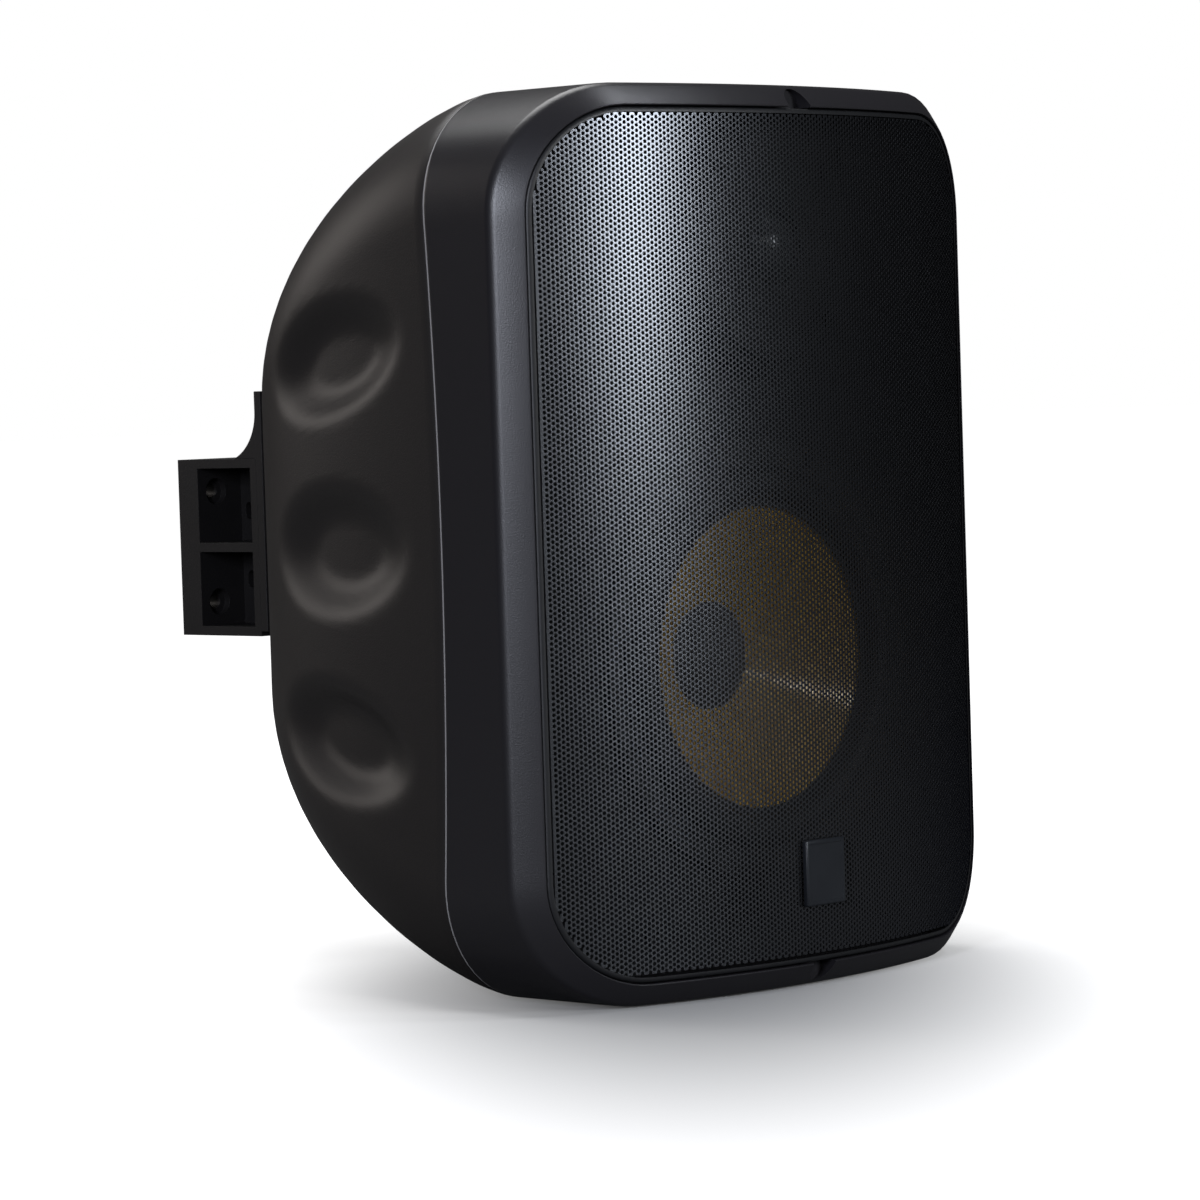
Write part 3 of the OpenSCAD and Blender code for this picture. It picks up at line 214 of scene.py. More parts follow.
cast_coat = grained("cast_coat", (0.012, 0.0112, 0.0115), 0.5, scale=1400, depth=0.35, mottle=0.2,
                   specular=0.3)
eased_copy("wall_bracket", 0.6 * mm, cast_coat)
eased_copy("hook_plate", 0.6 * mm, cast_coat)
eased_copy("swivel_neck", 0.5 * mm, cast_coat)
eased_copy("mount_plate", 0.5 * mm, cast_coat)

# Pins, bolts and screws. Turned steel with a bright zinc plate, or blackened where they hold
# plastic: each is screwed or pushed into its hole.
zinc = grained("zinc_plate", (0.55, 0.56, 0.58), 0.3, 1.0, 500, 0.15, 0.15, 120)
black_zinc = grained("black_zinc", (0.01, 0.01, 0.0105), 0.55, 0, 500, 0.15, 0.2, 120, 0.2)
turned_steel = grained("turned_steel", (0.6, 0.61, 0.63), 0.25, 1.0, 700, 0.1, 0.1, 80)
for bright in ("latch_screw", "pan_pin_clips", "tilt_bolt", "tilt_washers", "tilt_nut",
               "mount_screws", "terminal_screws"):
    eased_copy(bright, 0.2 * mm, zinc)
eased_copy("pan_pin", 0.4 * mm, turned_steel)
eased_copy("panel_screws", 0.15 * mm, black_zinc)

# Rear cabinet. One injection-moulded shell in matt black plastic, D-shaped from the side,
# with three scoops in each flank; its posts take the frame screws.
cabinet_w, cabinet_h, corner_r = 262 * mm, 340 * mm, 48 * mm
shell_low, shell_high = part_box("rear_cabinet")
cabinet_z = (shell_low.z + shell_high.z) / 2
wall_t, shell_d = 4 * mm, 145.5 * mm
back_y = shell_high.y
seam_y = back_y - shell_d
seam_bow = 7 * mm
seam_gap = 0.8 * mm
back_w, back_h = 80 * mm, 154 * mm
plan_power, side_power = 2.5, 1.33
scoop_depth, scoop_l = 8 * mm, 94 * mm
scoop_heights = {1: 47 * mm, 0: 54 * mm, -1: 47 * mm}
scoop_back, scoop_rise, scoop_lean = 54 * mm, 72 * mm, radians(13)
scoop_edge, scoop_fade = 0.6, 30 * mm
side_n, top_n, corner_n = 60, 26, 15
ring_n = 2 * side_n + 2 * top_n + 4 * corner_n


def outline(w, h, r):
    """A rounded rectangle in X and Z, counted the same at every size."""
    def run(a, b, n):
        """Places along a straight side."""
        return [(a[0] + (b[0] - a[0]) * i / n, a[1] + (b[1] - a[1]) * i / n) for i in range(n)]

    def corner(cx, cz, quarter):
        """Places round one corner."""
        turn = [quarter * pi / 2 + pi / 2 * i / corner_n for i in range(corner_n)]
        return [(cx + r * cos(a), cz + r * sin(a)) for a in turn]

    x, z = w / 2, h / 2
    points = run((x, r - z), (x, z - r), side_n) + corner(x - r, z - r, 0)
    points += run((x - r, z), (r - x, z), top_n) + corner(r - x, z - r, 1)
    points += run((-x, z - r), (-x, r - z), side_n) + corner(r - x, r - z, 2)
    points += run((r - x, -z), (x - r, -z), top_n) + corner(x - r, r - z, 3)
    return np.array(points)


def seam_at(z):
    """Y of the seam at a height: it bows forward at the cabinet's middle."""
    return seam_y - seam_bow * (1 - (2 * z / cabinet_h) ** 2)


def scoops(y, z):
    """Depth of the scoops at places on the shell's side."""
    total = np.zeros_like(y)
    for k, height in scoop_heights.items():
        dy, dz = y - (seam_y + scoop_back), z - k * scoop_rise
        a = k * scoop_lean
        u = (dy * cos(a) - dz * sin(a)) / (scoop_l / 2)
        v = (dy * sin(a) + dz * cos(a)) / (height / 2)
        s = np.clip((1 - np.sqrt(u * u + v * v)) / scoop_edge, 0, 1)
        total += scoop_depth * s * s * (3 - 2 * s)
    return total


def swell(t, power):
    """Share of the shell's full width or height at a share t of its depth."""
    return max(0.0, 1 - t ** power) ** (1 / power)


def shell_ring(t, shrink=1.0, inset=0.0):
    """A ring of the shell's outside at a share t of its depth; shrink draws in the flat back."""
    w = back_w + (cabinet_w - back_w) * swell(t, plan_power)
    h = back_h + (cabinet_h - back_h) * swell(t, side_power)
    p = outline(w - 2 * inset, h - 2 * inset, min(corner_r, w / 4) - inset) * shrink
    y = seam_at(p[:, 1]) + t * (back_y - seam_at(p[:, 1]))
    side = np.clip((np.abs(p[:, 0]) - back_w / 2) / scoop_fade, 0, 1)
    x = p[:, 0] - np.sign(p[:, 0]) * side * scoops(y, p[:, 1])
    return np.stack([x, y, p[:, 1] + cabinet_z], axis=1)


def skin_grid(name, rings, loop=False):
    """A grid primitive laid over a list of rings; its ends are merged where they meet."""
    rows = len(rings) + (1 if loop else 0)
    bpy.ops.object.select_all(action="DESELECT")
    bpy.ops.mesh.primitive_grid_add(x_subdivisions=ring_n, y_subdivisions=rows - 1, size=2)
    piece = bpy.context.object
    piece.name = piece.data.name = name
    count = len(piece.data.vertices)
    flat = np.zeros(count * 3)
    piece.data.vertices.foreach_get("co", flat)
    flat = flat.reshape(-1, 3)
    i = np.rint((flat[:, 0] + 1) / 2 * ring_n).astype(int) % ring_n
    j = np.rint((flat[:, 1] + 1) / 2 * (rows - 1)).astype(int) % len(rings)
    placed = np.array(rings)[j, i]
    piece.data.vertices.foreach_set("co", placed.ravel())
    bpy.ops.object.mode_set(mode="EDIT")
    bpy.ops.mesh.select_all(action="SELECT")
    bpy.ops.mesh.remove_doubles(threshold=1e-6)
    bpy.ops.mesh.normals_make_consistent(inside=False)
    bpy.ops.object.mode_set(mode="OBJECT")
    return piece


def add_cutter(kind, **values):
    """A plain solid, to be cut from a piece or joined to it, or shaped on its own."""
    bpy.ops.object.select_all(action="DESELECT")
    getattr(bpy.ops.mesh, kind)(**values)
    return bpy.context.object


def cut_with(piece, cutter, operation="DIFFERENCE"):
    """Cuts a piece with a plain solid, or joins them, and removes the solid."""
    cut = piece.modifiers.new("cut", "BOOLEAN")
    cut.operation = operation
    cut.solver = "EXACT"
    cut.object = cutter
    apply_modifiers(piece)
    bpy.data.objects.remove(cutter)


shell_steps, cap_steps = 78, 8
shares = [0.5 * k / shell_steps + 0.5 * sin(pi / 2 * k / shell_steps)
          for k in range(shell_steps + 1)]
seam_ease, ease_mid = 0.7 * mm, 0.3
ease_share = seam_ease / shell_d
shell_rings = [shell_ring(0, inset=seam_ease),
               shell_ring(ease_mid * ease_share, inset=ease_mid * seam_ease),
               shell_ring(ease_share)]
shell_rings += [shell_ring(t) for t in shares[2:]]
shell_rings += [shell_ring(1, 1 - (k + 1) / cap_steps) for k in range(cap_steps)]
rear_shell = skin_grid("rear_shell", shell_rings)
thick = rear_shell.modifiers.new("wall", "SOLIDIFY")
thick.thickness = wall_t
thick.offset = -1
apply_modifiers(rear_shell)
panel_low, panel_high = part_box("panel_gasket")
panel_middle = (panel_low + panel_high) / 2
panel_cut_d = 14 * mm
cut_with(rear_shell, add_cutter("primitive_cube_add", size=1, location=panel_middle, scale=(
    panel_high.x - panel_low.x, panel_cut_d, panel_high.z - panel_low.z)))
only(rear_shell)
bpy.ops.object.shade_smooth_by_angle(angle=radians(30))
cabinet_plastic = grained("cabinet_plastic", (0.0145, 0.0125, 0.012), 0.46, scale=1600, depth=0.3,
                          mottle=0.1, mottle_scale=18, specular=0.4)
finish_piece(rear_shell, "cabinet", "cabinet_plastic", cabinet_plastic, "rear_cabinet")

# Front frame. Bezel, side walls, baffle and tweeter pod are one moulding in satin black plastic,
# closed against the rear shell by the screws in its baffle.
bow_r = 300 * mm
front_y = seam_y - 74.5 * mm
bezel_w, bezel_d, edge_r = 8.7 * mm, 7 * mm, 4.5 * mm
baffle_y, baffle_t = front_y + 33 * mm, 6 * mm
notch_r, notch_d, notch_rise = 6.2 * mm, bezel_d + 5 * mm, 1 * mm
notch_y = front_y + (bezel_d - 3 * mm) / 2
round_n = 96
to_front = (pi / 2, 0, 0)
opening_w, opening_h = cabinet_w - 2 * bezel_w, cabinet_h - 2 * bezel_w
opening_r = corner_r - bezel_w


def bow(x):
    """How far the bowed front lies behind its middle at a place across."""
    return bow_r - np.sqrt(bow_r * bow_r - x * x)


def frame_ring(inset, place):
    """A ring inside the frame's outline; place gives Y from the ring's X and Z."""
    p = outline(cabinet_w - 2 * inset, cabinet_h - 2 * inset, corner_r - inset)
    return np.stack([p[:, 0], place(p[:, 0], p[:, 1]), p[:, 1] + cabinet_z], axis=1)


def on_bow(depth):
    """A ring's Y that follows the front's bow."""
    return lambda x, z: front_y + bow(x) + depth


def on_seam(shift):
    """A ring's Y that follows the seam."""
    return lambda x, z: seam_at(z) + shift


def flat_at(y):
    """A ring's Y that is the same all round."""
    return lambda x, z: np.full_like(x, y)


band_angle = atan2(bezel_d, bezel_w)
last_turn = pi / 2 - band_angle
edge_in = edge_r * (1 - cos(last_turn))
edge_d = (bezel_w - edge_in) * tan(band_angle) - edge_r * (1 - sin(last_turn))
rim_ease = 0.5 * mm
edge_steps = 9
rim_line = ((1, 0), (0.15, 0.15), (0, 1), (0, 2))
frame_rings = [frame_ring(inset * rim_ease, on_seam(-seam_gap - depth * rim_ease))
               for inset, depth in rim_line]
frame_rings.append(frame_ring(0, on_bow(edge_d + edge_r + rim_ease)))
for k in range(edge_steps + 1):
    turn = last_turn * k / edge_steps
    frame_rings.append(frame_ring(edge_r * (1 - cos(turn)),
                                  on_bow(edge_d + edge_r * (1 - sin(turn)))))
lip_r = 0.8 * mm
lip_line = ((1.4, 1.4 * tan(band_angle)), (0.6, 0.65), (0.15, 0.9), (0, 1.5))
frame_rings += [frame_ring(bezel_w - inset * lip_r, on_bow(depth * lip_r))
                for inset, depth in lip_line]
frame_rings += [frame_ring(bezel_w, flat_at(baffle_y)),
                frame_ring(bezel_w, flat_at(baffle_y + baffle_t)),
                frame_ring(wall_t, flat_at(baffle_y + baffle_t)),
                frame_ring(wall_t, on_seam(-seam_gap))]
bezel = skin_grid("front_bezel", frame_rings, loop=True)
for side in (-1, 1):
    notch_place = (0, notch_y, cabinet_z + side * (opening_h / 2 + notch_rise))
    cut_with(bezel, add_cutter("primitive_cylinder_add", vertices=round_n // 2, radius=notch_r,
                               depth=notch_d, location=notch_place, rotation=to_front))
only(bezel)
bpy.ops.object.shade_smooth_by_angle(angle=radians(28))
bezel_plastic = grained("bezel_plastic", (0.014, 0.0132, 0.0155), 0.33, scale=1800, depth=0.2,
                        mottle=0.08, mottle_scale=16, specular=0.5)
finish_piece(bezel, "cabinet", "bezel_plastic", bezel_plastic, "front_frame")

# Cabinet seal. A strip all round, squeezed between the frame's edge and the shell's. Its light
# grey
# is a painted highlight: it stands in for the lit edge of the seam, as a thin light line.
seal_in, seal_w, seal_play = 0.25 * mm, 3.2 * mm, 0.02 * mm
seal_rings = [frame_ring(seal_in, on_seam(seal_play - seam_gap)),
              frame_ring(seal_in, on_seam(-seal_play)),
              frame_ring(seal_in + seal_w, on_seam(-seal_play)),
              frame_ring(seal_in + seal_w, on_seam(seal_play - seam_gap))]
seal = skin_grid("seal", seal_rings, loop=True)
# Light grey seal: a painted highlight along the seam.
seal_highlight_grey = grained("seal_highlight_grey", (0.32, 0.31, 0.31), 0.8, scale=1500, depth=0.4, mottle=0.1)
finish_piece(seal, "cabinet", slot_of["cabinet_gasket"], seal_highlight_grey, "cabinet_gasket")

# Baffle and tweeter pod. The front frame's flat inner wall, one moulding with the bezel; it has
# a round opening for each driver, and both drivers are screwed to it.
cone_low, cone_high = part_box("woofer_cone")
woofer_z = (cone_low.z + cone_high.z) / 2
face_low, face_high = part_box("tweeter_faceplate")
tweeter_z = (face_low.z + face_high.z) / 2
woofer_hole_r, pod_r, pod_bore_r = 77 * mm, 47 * mm, 37 * mm
pod_y = front_y + 17 * mm
baffle_lap, bore_cut_d = 0.2 * mm, 80 * mm
baffle = add_cutter("primitive_cube_add", size=1,
                    location=(0, baffle_y + baffle_t / 2, cabinet_z),
                    scale=(opening_w + 2 * baffle_lap, baffle_t,
                           opening_h + 2 * baffle_lap))
bpy.ops.object.transform_apply(location=True, rotation=True, scale=True)
baffle.name = "baffle"
corners = baffle.modifiers.new("corners", "BEVEL")
corners.width = opening_r
corners.segments = 12
corners.limit_method = "WEIGHT"
weights = baffle.data.attributes.new("bevel_weight_edge", "FLOAT", "EDGE")
for edge in baffle.data.edges:
    a, b = (baffle.data.vertices[v].co for v in edge.vertices)
    weights.data[edge.index].value = 1.0 if abs(a.y - b.y) > baffle_t / 2 else 0.0
apply_modifiers(baffle)
pod = add_cutter("primitive_cylinder_add", vertices=round_n, radius=pod_r,
                 depth=baffle_y + baffle_t / 2 - pod_y, rotation=to_front,
                 location=(0, (pod_y + baffle_y + baffle_t / 2) / 2, tweeter_z))
cut_with(baffle, pod, "UNION")
for radius, z in ((woofer_hole_r, woofer_z), (pod_bore_r, tweeter_z)):
    cut_with(baffle, add_cutter("primitive_cylinder_add", vertices=round_n, radius=radius,
                                depth=bore_cut_d, rotation=to_front, location=(0, baffle_y, z)))
only(baffle)
bpy.ops.object.shade_smooth_by_angle(angle=radians(30))
# The baffle gets a darker, duller copy of the bezel's plastic: painted shade behind the grille.
baffle_shaded_plastic = grained("baffle_shaded_plastic", (0.008, 0.008, 0.009), 0.7, scale=1800, depth=0.2,
                         mottle=0.08, mottle_scale=16, specular=0.15)
finish_piece(baffle, "cabinet", "bezel_plastic", baffle_shaded_plastic)

# Grille. Punched steel sheet with round holes on a 2 mm pitch in staggered columns, bowed and
# folded back round its edge, black powder-coated, and pushed into the frame. Each hole has a
# wall half as deep as the sheet is thick.
hole_pitch = 2.0 * mm
column_pitch = hole_pitch * sqrt(3) / 2
hole_r, hole_depth = 0.79 * mm, 0.5 * mm
grille_gap, grille_set, edge_gap = 0.5 * mm, 1.0 * mm, 1.2 * mm
grille_w, grille_h = opening_w - 2 * grille_gap, opening_h - 2 * grille_gap
grille_r = opening_r - grille_gap
fold_r, fold_share = 1.6 * mm, 0.98


def bend_to_bow(flat_x, lift):
    """Bends a flat sheet to the bow; lift is its depth behind the front."""
    turn = flat_x / bow_r
    r = bow_r - lift
    return r * np.sin(turn), front_y + bow_r - r * np.cos(turn)


def edge_reach(x, z):
    """Distance of a place on the flat sheet from the sheet's edge."""
    dx = abs(x) - (flat_w / 2 - grille_r)
    dz = abs(z) - (grille_h / 2 - grille_r)
    return grille_r - (sqrt(dx * dx + dz * dz) if dx > 0 and dz > 0 else max(dx, dz))


def bent(place, depth=0.0):
    """A place on the flat sheet, taken round the fold at the edge and bent to the bow."""
    past = min(max(0.0, fold_r - edge_reach(place.x, place.y)), fold_share * fold_r)
    x, y = bend_to_bow(place.x, grille_set + fold_r - sqrt(fold_r ** 2 - past ** 2) + depth)
    return Vector((x, y, place.y + cabinet_z))


flat_w = 2 * bow_r * np.arcsin(grille_w / 2 / bow_r)
columns = 2 * int(flat_w / 2 / column_pitch)
rows = 2 * int(grille_h / 2 / hole_pitch) + 2
bpy.ops.object.select_all(action="DESELECT")
bpy.ops.mesh.primitive_grid_add(x_subdivisions=columns, y_subdivisions=rows, size=2)
grille = bpy.context.object
grille.name = grille.data.name = "grille_sheet"
co = np.zeros(len(grille.data.vertices) * 3)
grille.data.vertices.foreach_get("co", co)
co = co.reshape(-1, 3)
column = np.rint((co[:, 0] + 1) / 2 * columns)
row = np.rint((co[:, 1] + 1) / 2 * rows)
co[:, 0] = (column - columns / 2) * column_pitch
co[:, 1] = (row - rows / 2 + 0.5 * (column % 2)) * hole_pitch
grille.data.vertices.foreach_set("co", co.ravel())
web = bmesh.new()
web.from_mesh(grille.data)
outside = [v for v in web.verts if edge_reach(v.co.x, v.co.y) < edge_gap]
bmesh.ops.delete(web, geom=outside, context="VERTS")
web.to_mesh(grille.data)
web.free()
only(grille)
bpy.ops.object.mode_set(mode="EDIT")
bpy.ops.mesh.select_all(action="SELECT")
bpy.ops.mesh.quads_convert_to_tris(quad_method="SHORTEST_DIAGONAL")
bpy.ops.mesh.bevel(offset=hole_r, offset_type="OFFSET", segments=1, affect="VERTICES")
bpy.ops.object.mode_set(mode="OBJECT")
web = bmesh.new()
web.from_mesh(grille.data)
holes, near = [], 0.2 * hole_r
for face in web.faces:
    c = face.calc_center_median()
    k = round(c.x / column_pitch + columns / 2)
    x0 = (k - columns / 2) * column_pitch
    z0 = (round(c.y / hole_pitch - 0.5 * (k % 2)) + 0.5 * (k % 2)) * hole_pitch
    if abs(c.x - x0) < near and abs(c.y - z0) < near:
        holes.append(face)
bmesh.ops.delete(web, geom=holes, context="FACES")
rims = [(edge.verts[0].co.copy(), edge.verts[1].co.copy()) for edge in web.edges
        if edge.is_boundary]
uv = web.loops.layers.uv.new("sheet")
for face in web.faces:
    for loop in face.loops:
        loop[uv].uv = (loop.vert.co.x / hole_pitch, loop.vert.co.y / hole_pitch)
for v in web.verts:
    v.co = bent(v.co)
bmesh.ops.triangulate(web, faces=web.faces[:])
web.normal_update()
if sum(face.normal.y for face in web.faces) > 0:
    bmesh.ops.reverse_faces(web, faces=web.faces[:])
web.to_mesh(grille.data)
web.free()
bpy.ops.object.shade_smooth()


def math_in(group):
    """A short form for a group's sums: it adds a math node and gives its result."""
    def calc(operation, a, b=0.0):
        """One math node; a and b are sockets or plain values."""
        node = add_node(group, "ShaderNodeMath", operation=operation)
        for socket, value in zip(node.inputs, (a, b)):
            if isinstance(value, bpy.types.NodeSocket):
                group.links.new(value, socket)
            else:
                socket.default_value = value
        return node.outputs[0]

    return calc


def make_punched_group():
    """The dished edge that a punch leaves round each hole of the sheet."""
    group = bpy.data.node_groups.new("punched", "ShaderNodeTree")
    group.interface.new_socket(name="Height", in_out="OUTPUT", socket_type="NodeSocketFloat")
    end = group.nodes.new("NodeGroupOutput")
    place = add_node(group, "ShaderNodeUVMap", uv_map="sheet")
    split = group.nodes.new("ShaderNodeSeparateXYZ")
    link = group.links.new
    link(place.outputs["UV"], split.inputs["Vector"])
    calc = math_in(group)
    step = sqrt(3) / 2
    nearest = None
    for shift in (0.0, 0.5):
        across = calc("DIVIDE", split.outputs["X"], 2 * step)
        across = calc("SUBTRACT", calc("FRACT", calc("ADD", across, 0.5 + shift)), 0.5)
        across = calc("MULTIPLY", across, 2 * step)
        along = calc("SUBTRACT", calc("FRACT", calc("ADD", split.outputs["Y"], 0.5 + shift)), 0.5)
        square = calc("ADD", calc("MULTIPLY", across, across), calc("MULTIPLY", along, along))
        far = calc("SQRT", square)
        nearest = far if nearest is None else calc("MINIMUM", nearest, far)
    link(nearest, end.inputs["Height"])
    return group


powder, powder_tree, powder_shader = new_material("grille_coat", (0.115, 0.119, 0.13), 0.27, 1.0)
punched = add_node(powder_tree, "ShaderNodeGroup", node_tree=make_punched_group())
dish = add_node(powder_tree, "ShaderNodeBump")
dish.inputs["Strength"].default_value = 0.2
dish.inputs["Distance"].default_value = 0.2 * mm
coat_grain = add_node(powder_tree, "ShaderNodeGroup", node_tree=grain_group)
coat_gloss = add_node(powder_tree, "ShaderNodeMapRange")
coat_gloss.inputs["To Min"].default_value = 0.24
coat_gloss.inputs["To Max"].default_value = 0.29
powder_shader.inputs["Specular Tint"].default_value = (0.2, 0.2, 0.22, 1)
powder_tree.links.new(punched.outputs["Height"], dish.inputs["Height"])
powder_tree.links.new(dish.outputs["Normal"], powder_shader.inputs["Normal"])
powder_tree.links.new(coat_grain.outputs["Mottle"], coat_gloss.inputs["Value"])
powder_tree.links.new(coat_gloss.outputs["Result"], powder_shader.inputs["Roughness"])
finish_piece(grille, "cabinet", "grille_steel", powder, "grille")

# The hole walls get a darker, plain copy of the sheet's coat: painted shade, so the holes read
# black.
hole_wall_shaded_coat = grained("hole_wall_shaded_coat", (0.02, 0.0205, 0.022), 0.5, 0, 1200, 0.2, 0.15, 40, 0.4)
for part, left, right in (("left", -flat_w, -flat_w / 6), ("middle", -flat_w / 6, flat_w / 6),
                          ("right", flat_w / 6, flat_w)):
    places, faces, known = [], [], {}
    for rim in rims:
        if not left <= rim[0].x < right:
            continue
        ends = []
        for end in rim:
            key = (round(end.x, 6), round(end.y, 6))
            if key not in known:
                known[key] = len(places)
                places += [bent(end), bent(end, hole_depth)]
            ends.append(known[key])
        faces.append((ends[0], ends[1], ends[1] + 1, ends[0] + 1))
    walls = bpy.data.meshes.new("grille_holes_" + part)
    walls.from_pydata(places, [], faces)
    hole_walls = bpy.data.objects.new("grille_holes_" + part, walls)
    bpy.context.scene.collection.objects.link(hole_walls)
    finish_piece(hole_walls, "cabinet", "grille_steel", hole_wall_shaded_coat)


def grille_ring(inset, depth):
    """A ring of the folded edge, inside the grille's outline and behind its bowed face."""
    p = outline(grille_w - 2 * inset, grille_h - 2 * inset, grille_r - inset)
    y = front_y + grille_set + bow(p[:, 0]) + depth
    return np.stack([p[:, 0], y, p[:, 1] + cabinet_z], axis=1)


fold_line = ((1.9, -0.05), (1.2, -0.03), (0.6, 0.15), (0.2, 0.6), (0, 1.3), (0, 5.8),
             (0.2, 6), (0.6, 5.8), (0.8, 2.1), (1.9, 1.0))
fold_rings = [grille_ring(inset * mm, depth * mm) for inset, depth in fold_line]
# The folded edge, and the grille's own nodes, get a darker copy of the sheet's coat: painted
# shade that keeps the bent edge from catching light.
shaded_fold_coat = grained("shaded_fold_coat", (0.01, 0.0103, 0.0115), 0.42, 0, 1200, 0.2, 0.15, 40, 0.4)
grille_fold = skin_grid("grille_fold", fold_rings, loop=True)
only(grille_fold)
bpy.ops.object.shade_smooth_by_angle(angle=radians(35))
finish_piece(grille_fold, "cabinet", "grille_steel", shaded_fold_coat)

# Badge plate. A small moulded plate glued to the grille's foot, left bare: a bevelled edge round
# a sunk, finely grained field.
badge_low, badge_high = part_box("badge_plate")
badge_size = badge_high - badge_low
badge_edge, field_in, field_d = 0.7 * mm, 0.8 * mm, 0.25 * mm
badge = add_cutter("primitive_cube_add", size=1, location=(badge_low + badge_high) / 2,
                   scale=badge_size)
bpy.ops.object.transform_apply(location=True, rotation=True, scale=True)
badge.name = "badge"
rounding = badge.modifiers.new("edges", "BEVEL")
rounding.width = badge_edge
rounding.segments = 3
apply_modifiers(badge)
bpy.ops.object.mode_set(mode="EDIT")
bpy.ops.mesh.select_all(action="DESELECT")
bpy.ops.object.mode_set(mode="OBJECT")
for face in badge.data.polygons:
    face.select = face.normal.y < -0.99 and face.area > 0.5 * badge_size.x * badge_size.z
bpy.ops.object.mode_set(mode="EDIT")
bpy.ops.mesh.inset(thickness=field_in, depth=0)
bpy.ops.mesh.inset(thickness=field_d, depth=-field_d)
bpy.ops.object.mode_set(mode="OBJECT")
bpy.ops.object.shade_smooth_by_angle(angle=radians(30))
badge_face = grained("badge_face", (0.016, 0.018, 0.022), 0.3, 0.2, 300, 0.1, 0.15, 90)
finish_piece(badge, "cabinet", "badge", badge_face, "badge_plate")

# Woofer cone. Woven fibre pressed to a cone and lacquered; it is glued to the coil former at
# its neck and to the rubber roll at its edge.
woofer_y = cone_low.y
cone_r, cone_d, neck_r = 59.5 * mm, 32 * mm, 13.2 * mm
cone_wall, cone_slant = 0.8 * mm, 1.3


def spun(name, profile, y0, z0, steps=96):
    """A profile of radius and depth, spun round the driver's own axis."""
    mesh = bpy.data.meshes.new(name)
    mesh.from_pydata([(r, y0 + d, z0) for r, d in profile], [(i, (i + 1) % len(profile))
                     for i in range(len(profile))], [])
    piece = bpy.data.objects.new(name, mesh)
    bpy.context.scene.collection.objects.link(piece)
    only(piece)
    bpy.ops.object.mode_set(mode="EDIT")
    bpy.ops.mesh.select_all(action="SELECT")
    bpy.ops.mesh.spin(steps=steps, angle=2 * pi, center=(0, 0, z0), axis=(0, 1, 0))
    bpy.ops.mesh.select_all(action="SELECT")
    bpy.ops.mesh.remove_doubles(threshold=1e-6)
    bpy.ops.mesh.normals_make_consistent(inside=False)
    bpy.ops.object.mode_set(mode="OBJECT")
    bpy.ops.object.shade_smooth_by_angle(angle=radians(35))
    return piece


def cone_line(r, offset=0.0):
    """Depth of the cone's face at a radius: it is straight from neck to edge."""
    share = (cone_r - r) / (cone_r - neck_r)
    return cone_d * share + offset


cone_steps = 10
cone_radii = [neck_r + (cone_r - neck_r) * k / cone_steps for k in range(cone_steps + 1)]
cone_profile = [(r, cone_line(r)) for r in cone_radii]
cone_profile += [(r, cone_line(r, cone_slant * cone_wall)) for r in reversed(cone_radii)]
cone = spun("cone", cone_profile, woofer_y, woofer_z)


def make_weave_group():
    """Plain weave in the plane of the cloth before pressing: height and a warp-or-weft mask."""
    group = bpy.data.node_groups.new("weave", "ShaderNodeTree")
    face = group.interface
    face.new_socket(name="Threads", in_out="INPUT", socket_type="NodeSocketFloat")
    face.new_socket(name="Height", in_out="OUTPUT", socket_type="NodeSocketFloat")
    face.new_socket(name="Warp", in_out="OUTPUT", socket_type="NodeSocketFloat")
    start = group.nodes.new("NodeGroupInput")
    end = group.nodes.new("NodeGroupOutput")
    place = group.nodes.new("ShaderNodeTexCoord")
    split = group.nodes.new("ShaderNodeSeparateXYZ")
    link = group.links.new
    link(place.outputs["Object"], split.inputs["Vector"])
    calc = math_in(group)
    u = calc("MULTIPLY", split.outputs["X"], start.outputs["Threads"])
    v = calc("MULTIPLY", split.outputs["Z"], start.outputs["Threads"])
    su = calc("SINE", calc("MULTIPLY", u, pi))
    sv = calc("SINE", calc("MULTIPLY", v, pi))
    over = calc("GREATER_THAN", calc("MULTIPLY", su, sv), 0.0)
    hill_u = calc("ABSOLUTE", su)
    hill_v = calc("ABSOLUTE", sv)
    warp = calc("MULTIPLY", hill_u, over)
    weft = calc("MULTIPLY", hill_v, calc("SUBTRACT", 1.0, over))
    link(calc("ADD", warp, weft), end.inputs["Height"])
    link(over, end.inputs["Warp"])
    return group


weave, weave_tree, weave_shader = new_material("woven_fibre", (0.36, 0.205, 0.036), 0.4)
weave_node = add_node(weave_tree, "ShaderNodeGroup", node_tree=make_weave_group())
weave_node.inputs["Threads"].default_value = 700
thread_tone = add_node(weave_tree, "ShaderNodeMix", data_type="RGBA")
thread_tone.inputs[tone_a].default_value = (0.3, 0.17, 0.028, 1)
thread_tone.inputs[tone_b].default_value = (0.44, 0.27, 0.05, 1)
thread_bump = add_node(weave_tree, "ShaderNodeBump")
thread_bump.inputs["Strength"].default_value = 0.4
thread_bump.inputs["Distance"].default_value = 0.3 * mm
weave_tree.links.new(weave_node.outputs["Warp"], thread_tone.inputs[0])
weave_tree.links.new(thread_tone.outputs[tone_out], weave_shader.inputs["Base Color"])
weave_tree.links.new(weave_node.outputs["Height"], thread_bump.inputs["Height"])
weave_tree.links.new(thread_bump.outputs["Normal"], weave_shader.inputs["Normal"])
weave_shader.inputs["Coat Weight"].default_value = 0.35
weave_shader.inputs["Coat Roughness"].default_value = 0.14
finish_piece(cone, "cone", "cone_weave", weave, "woofer_cone")

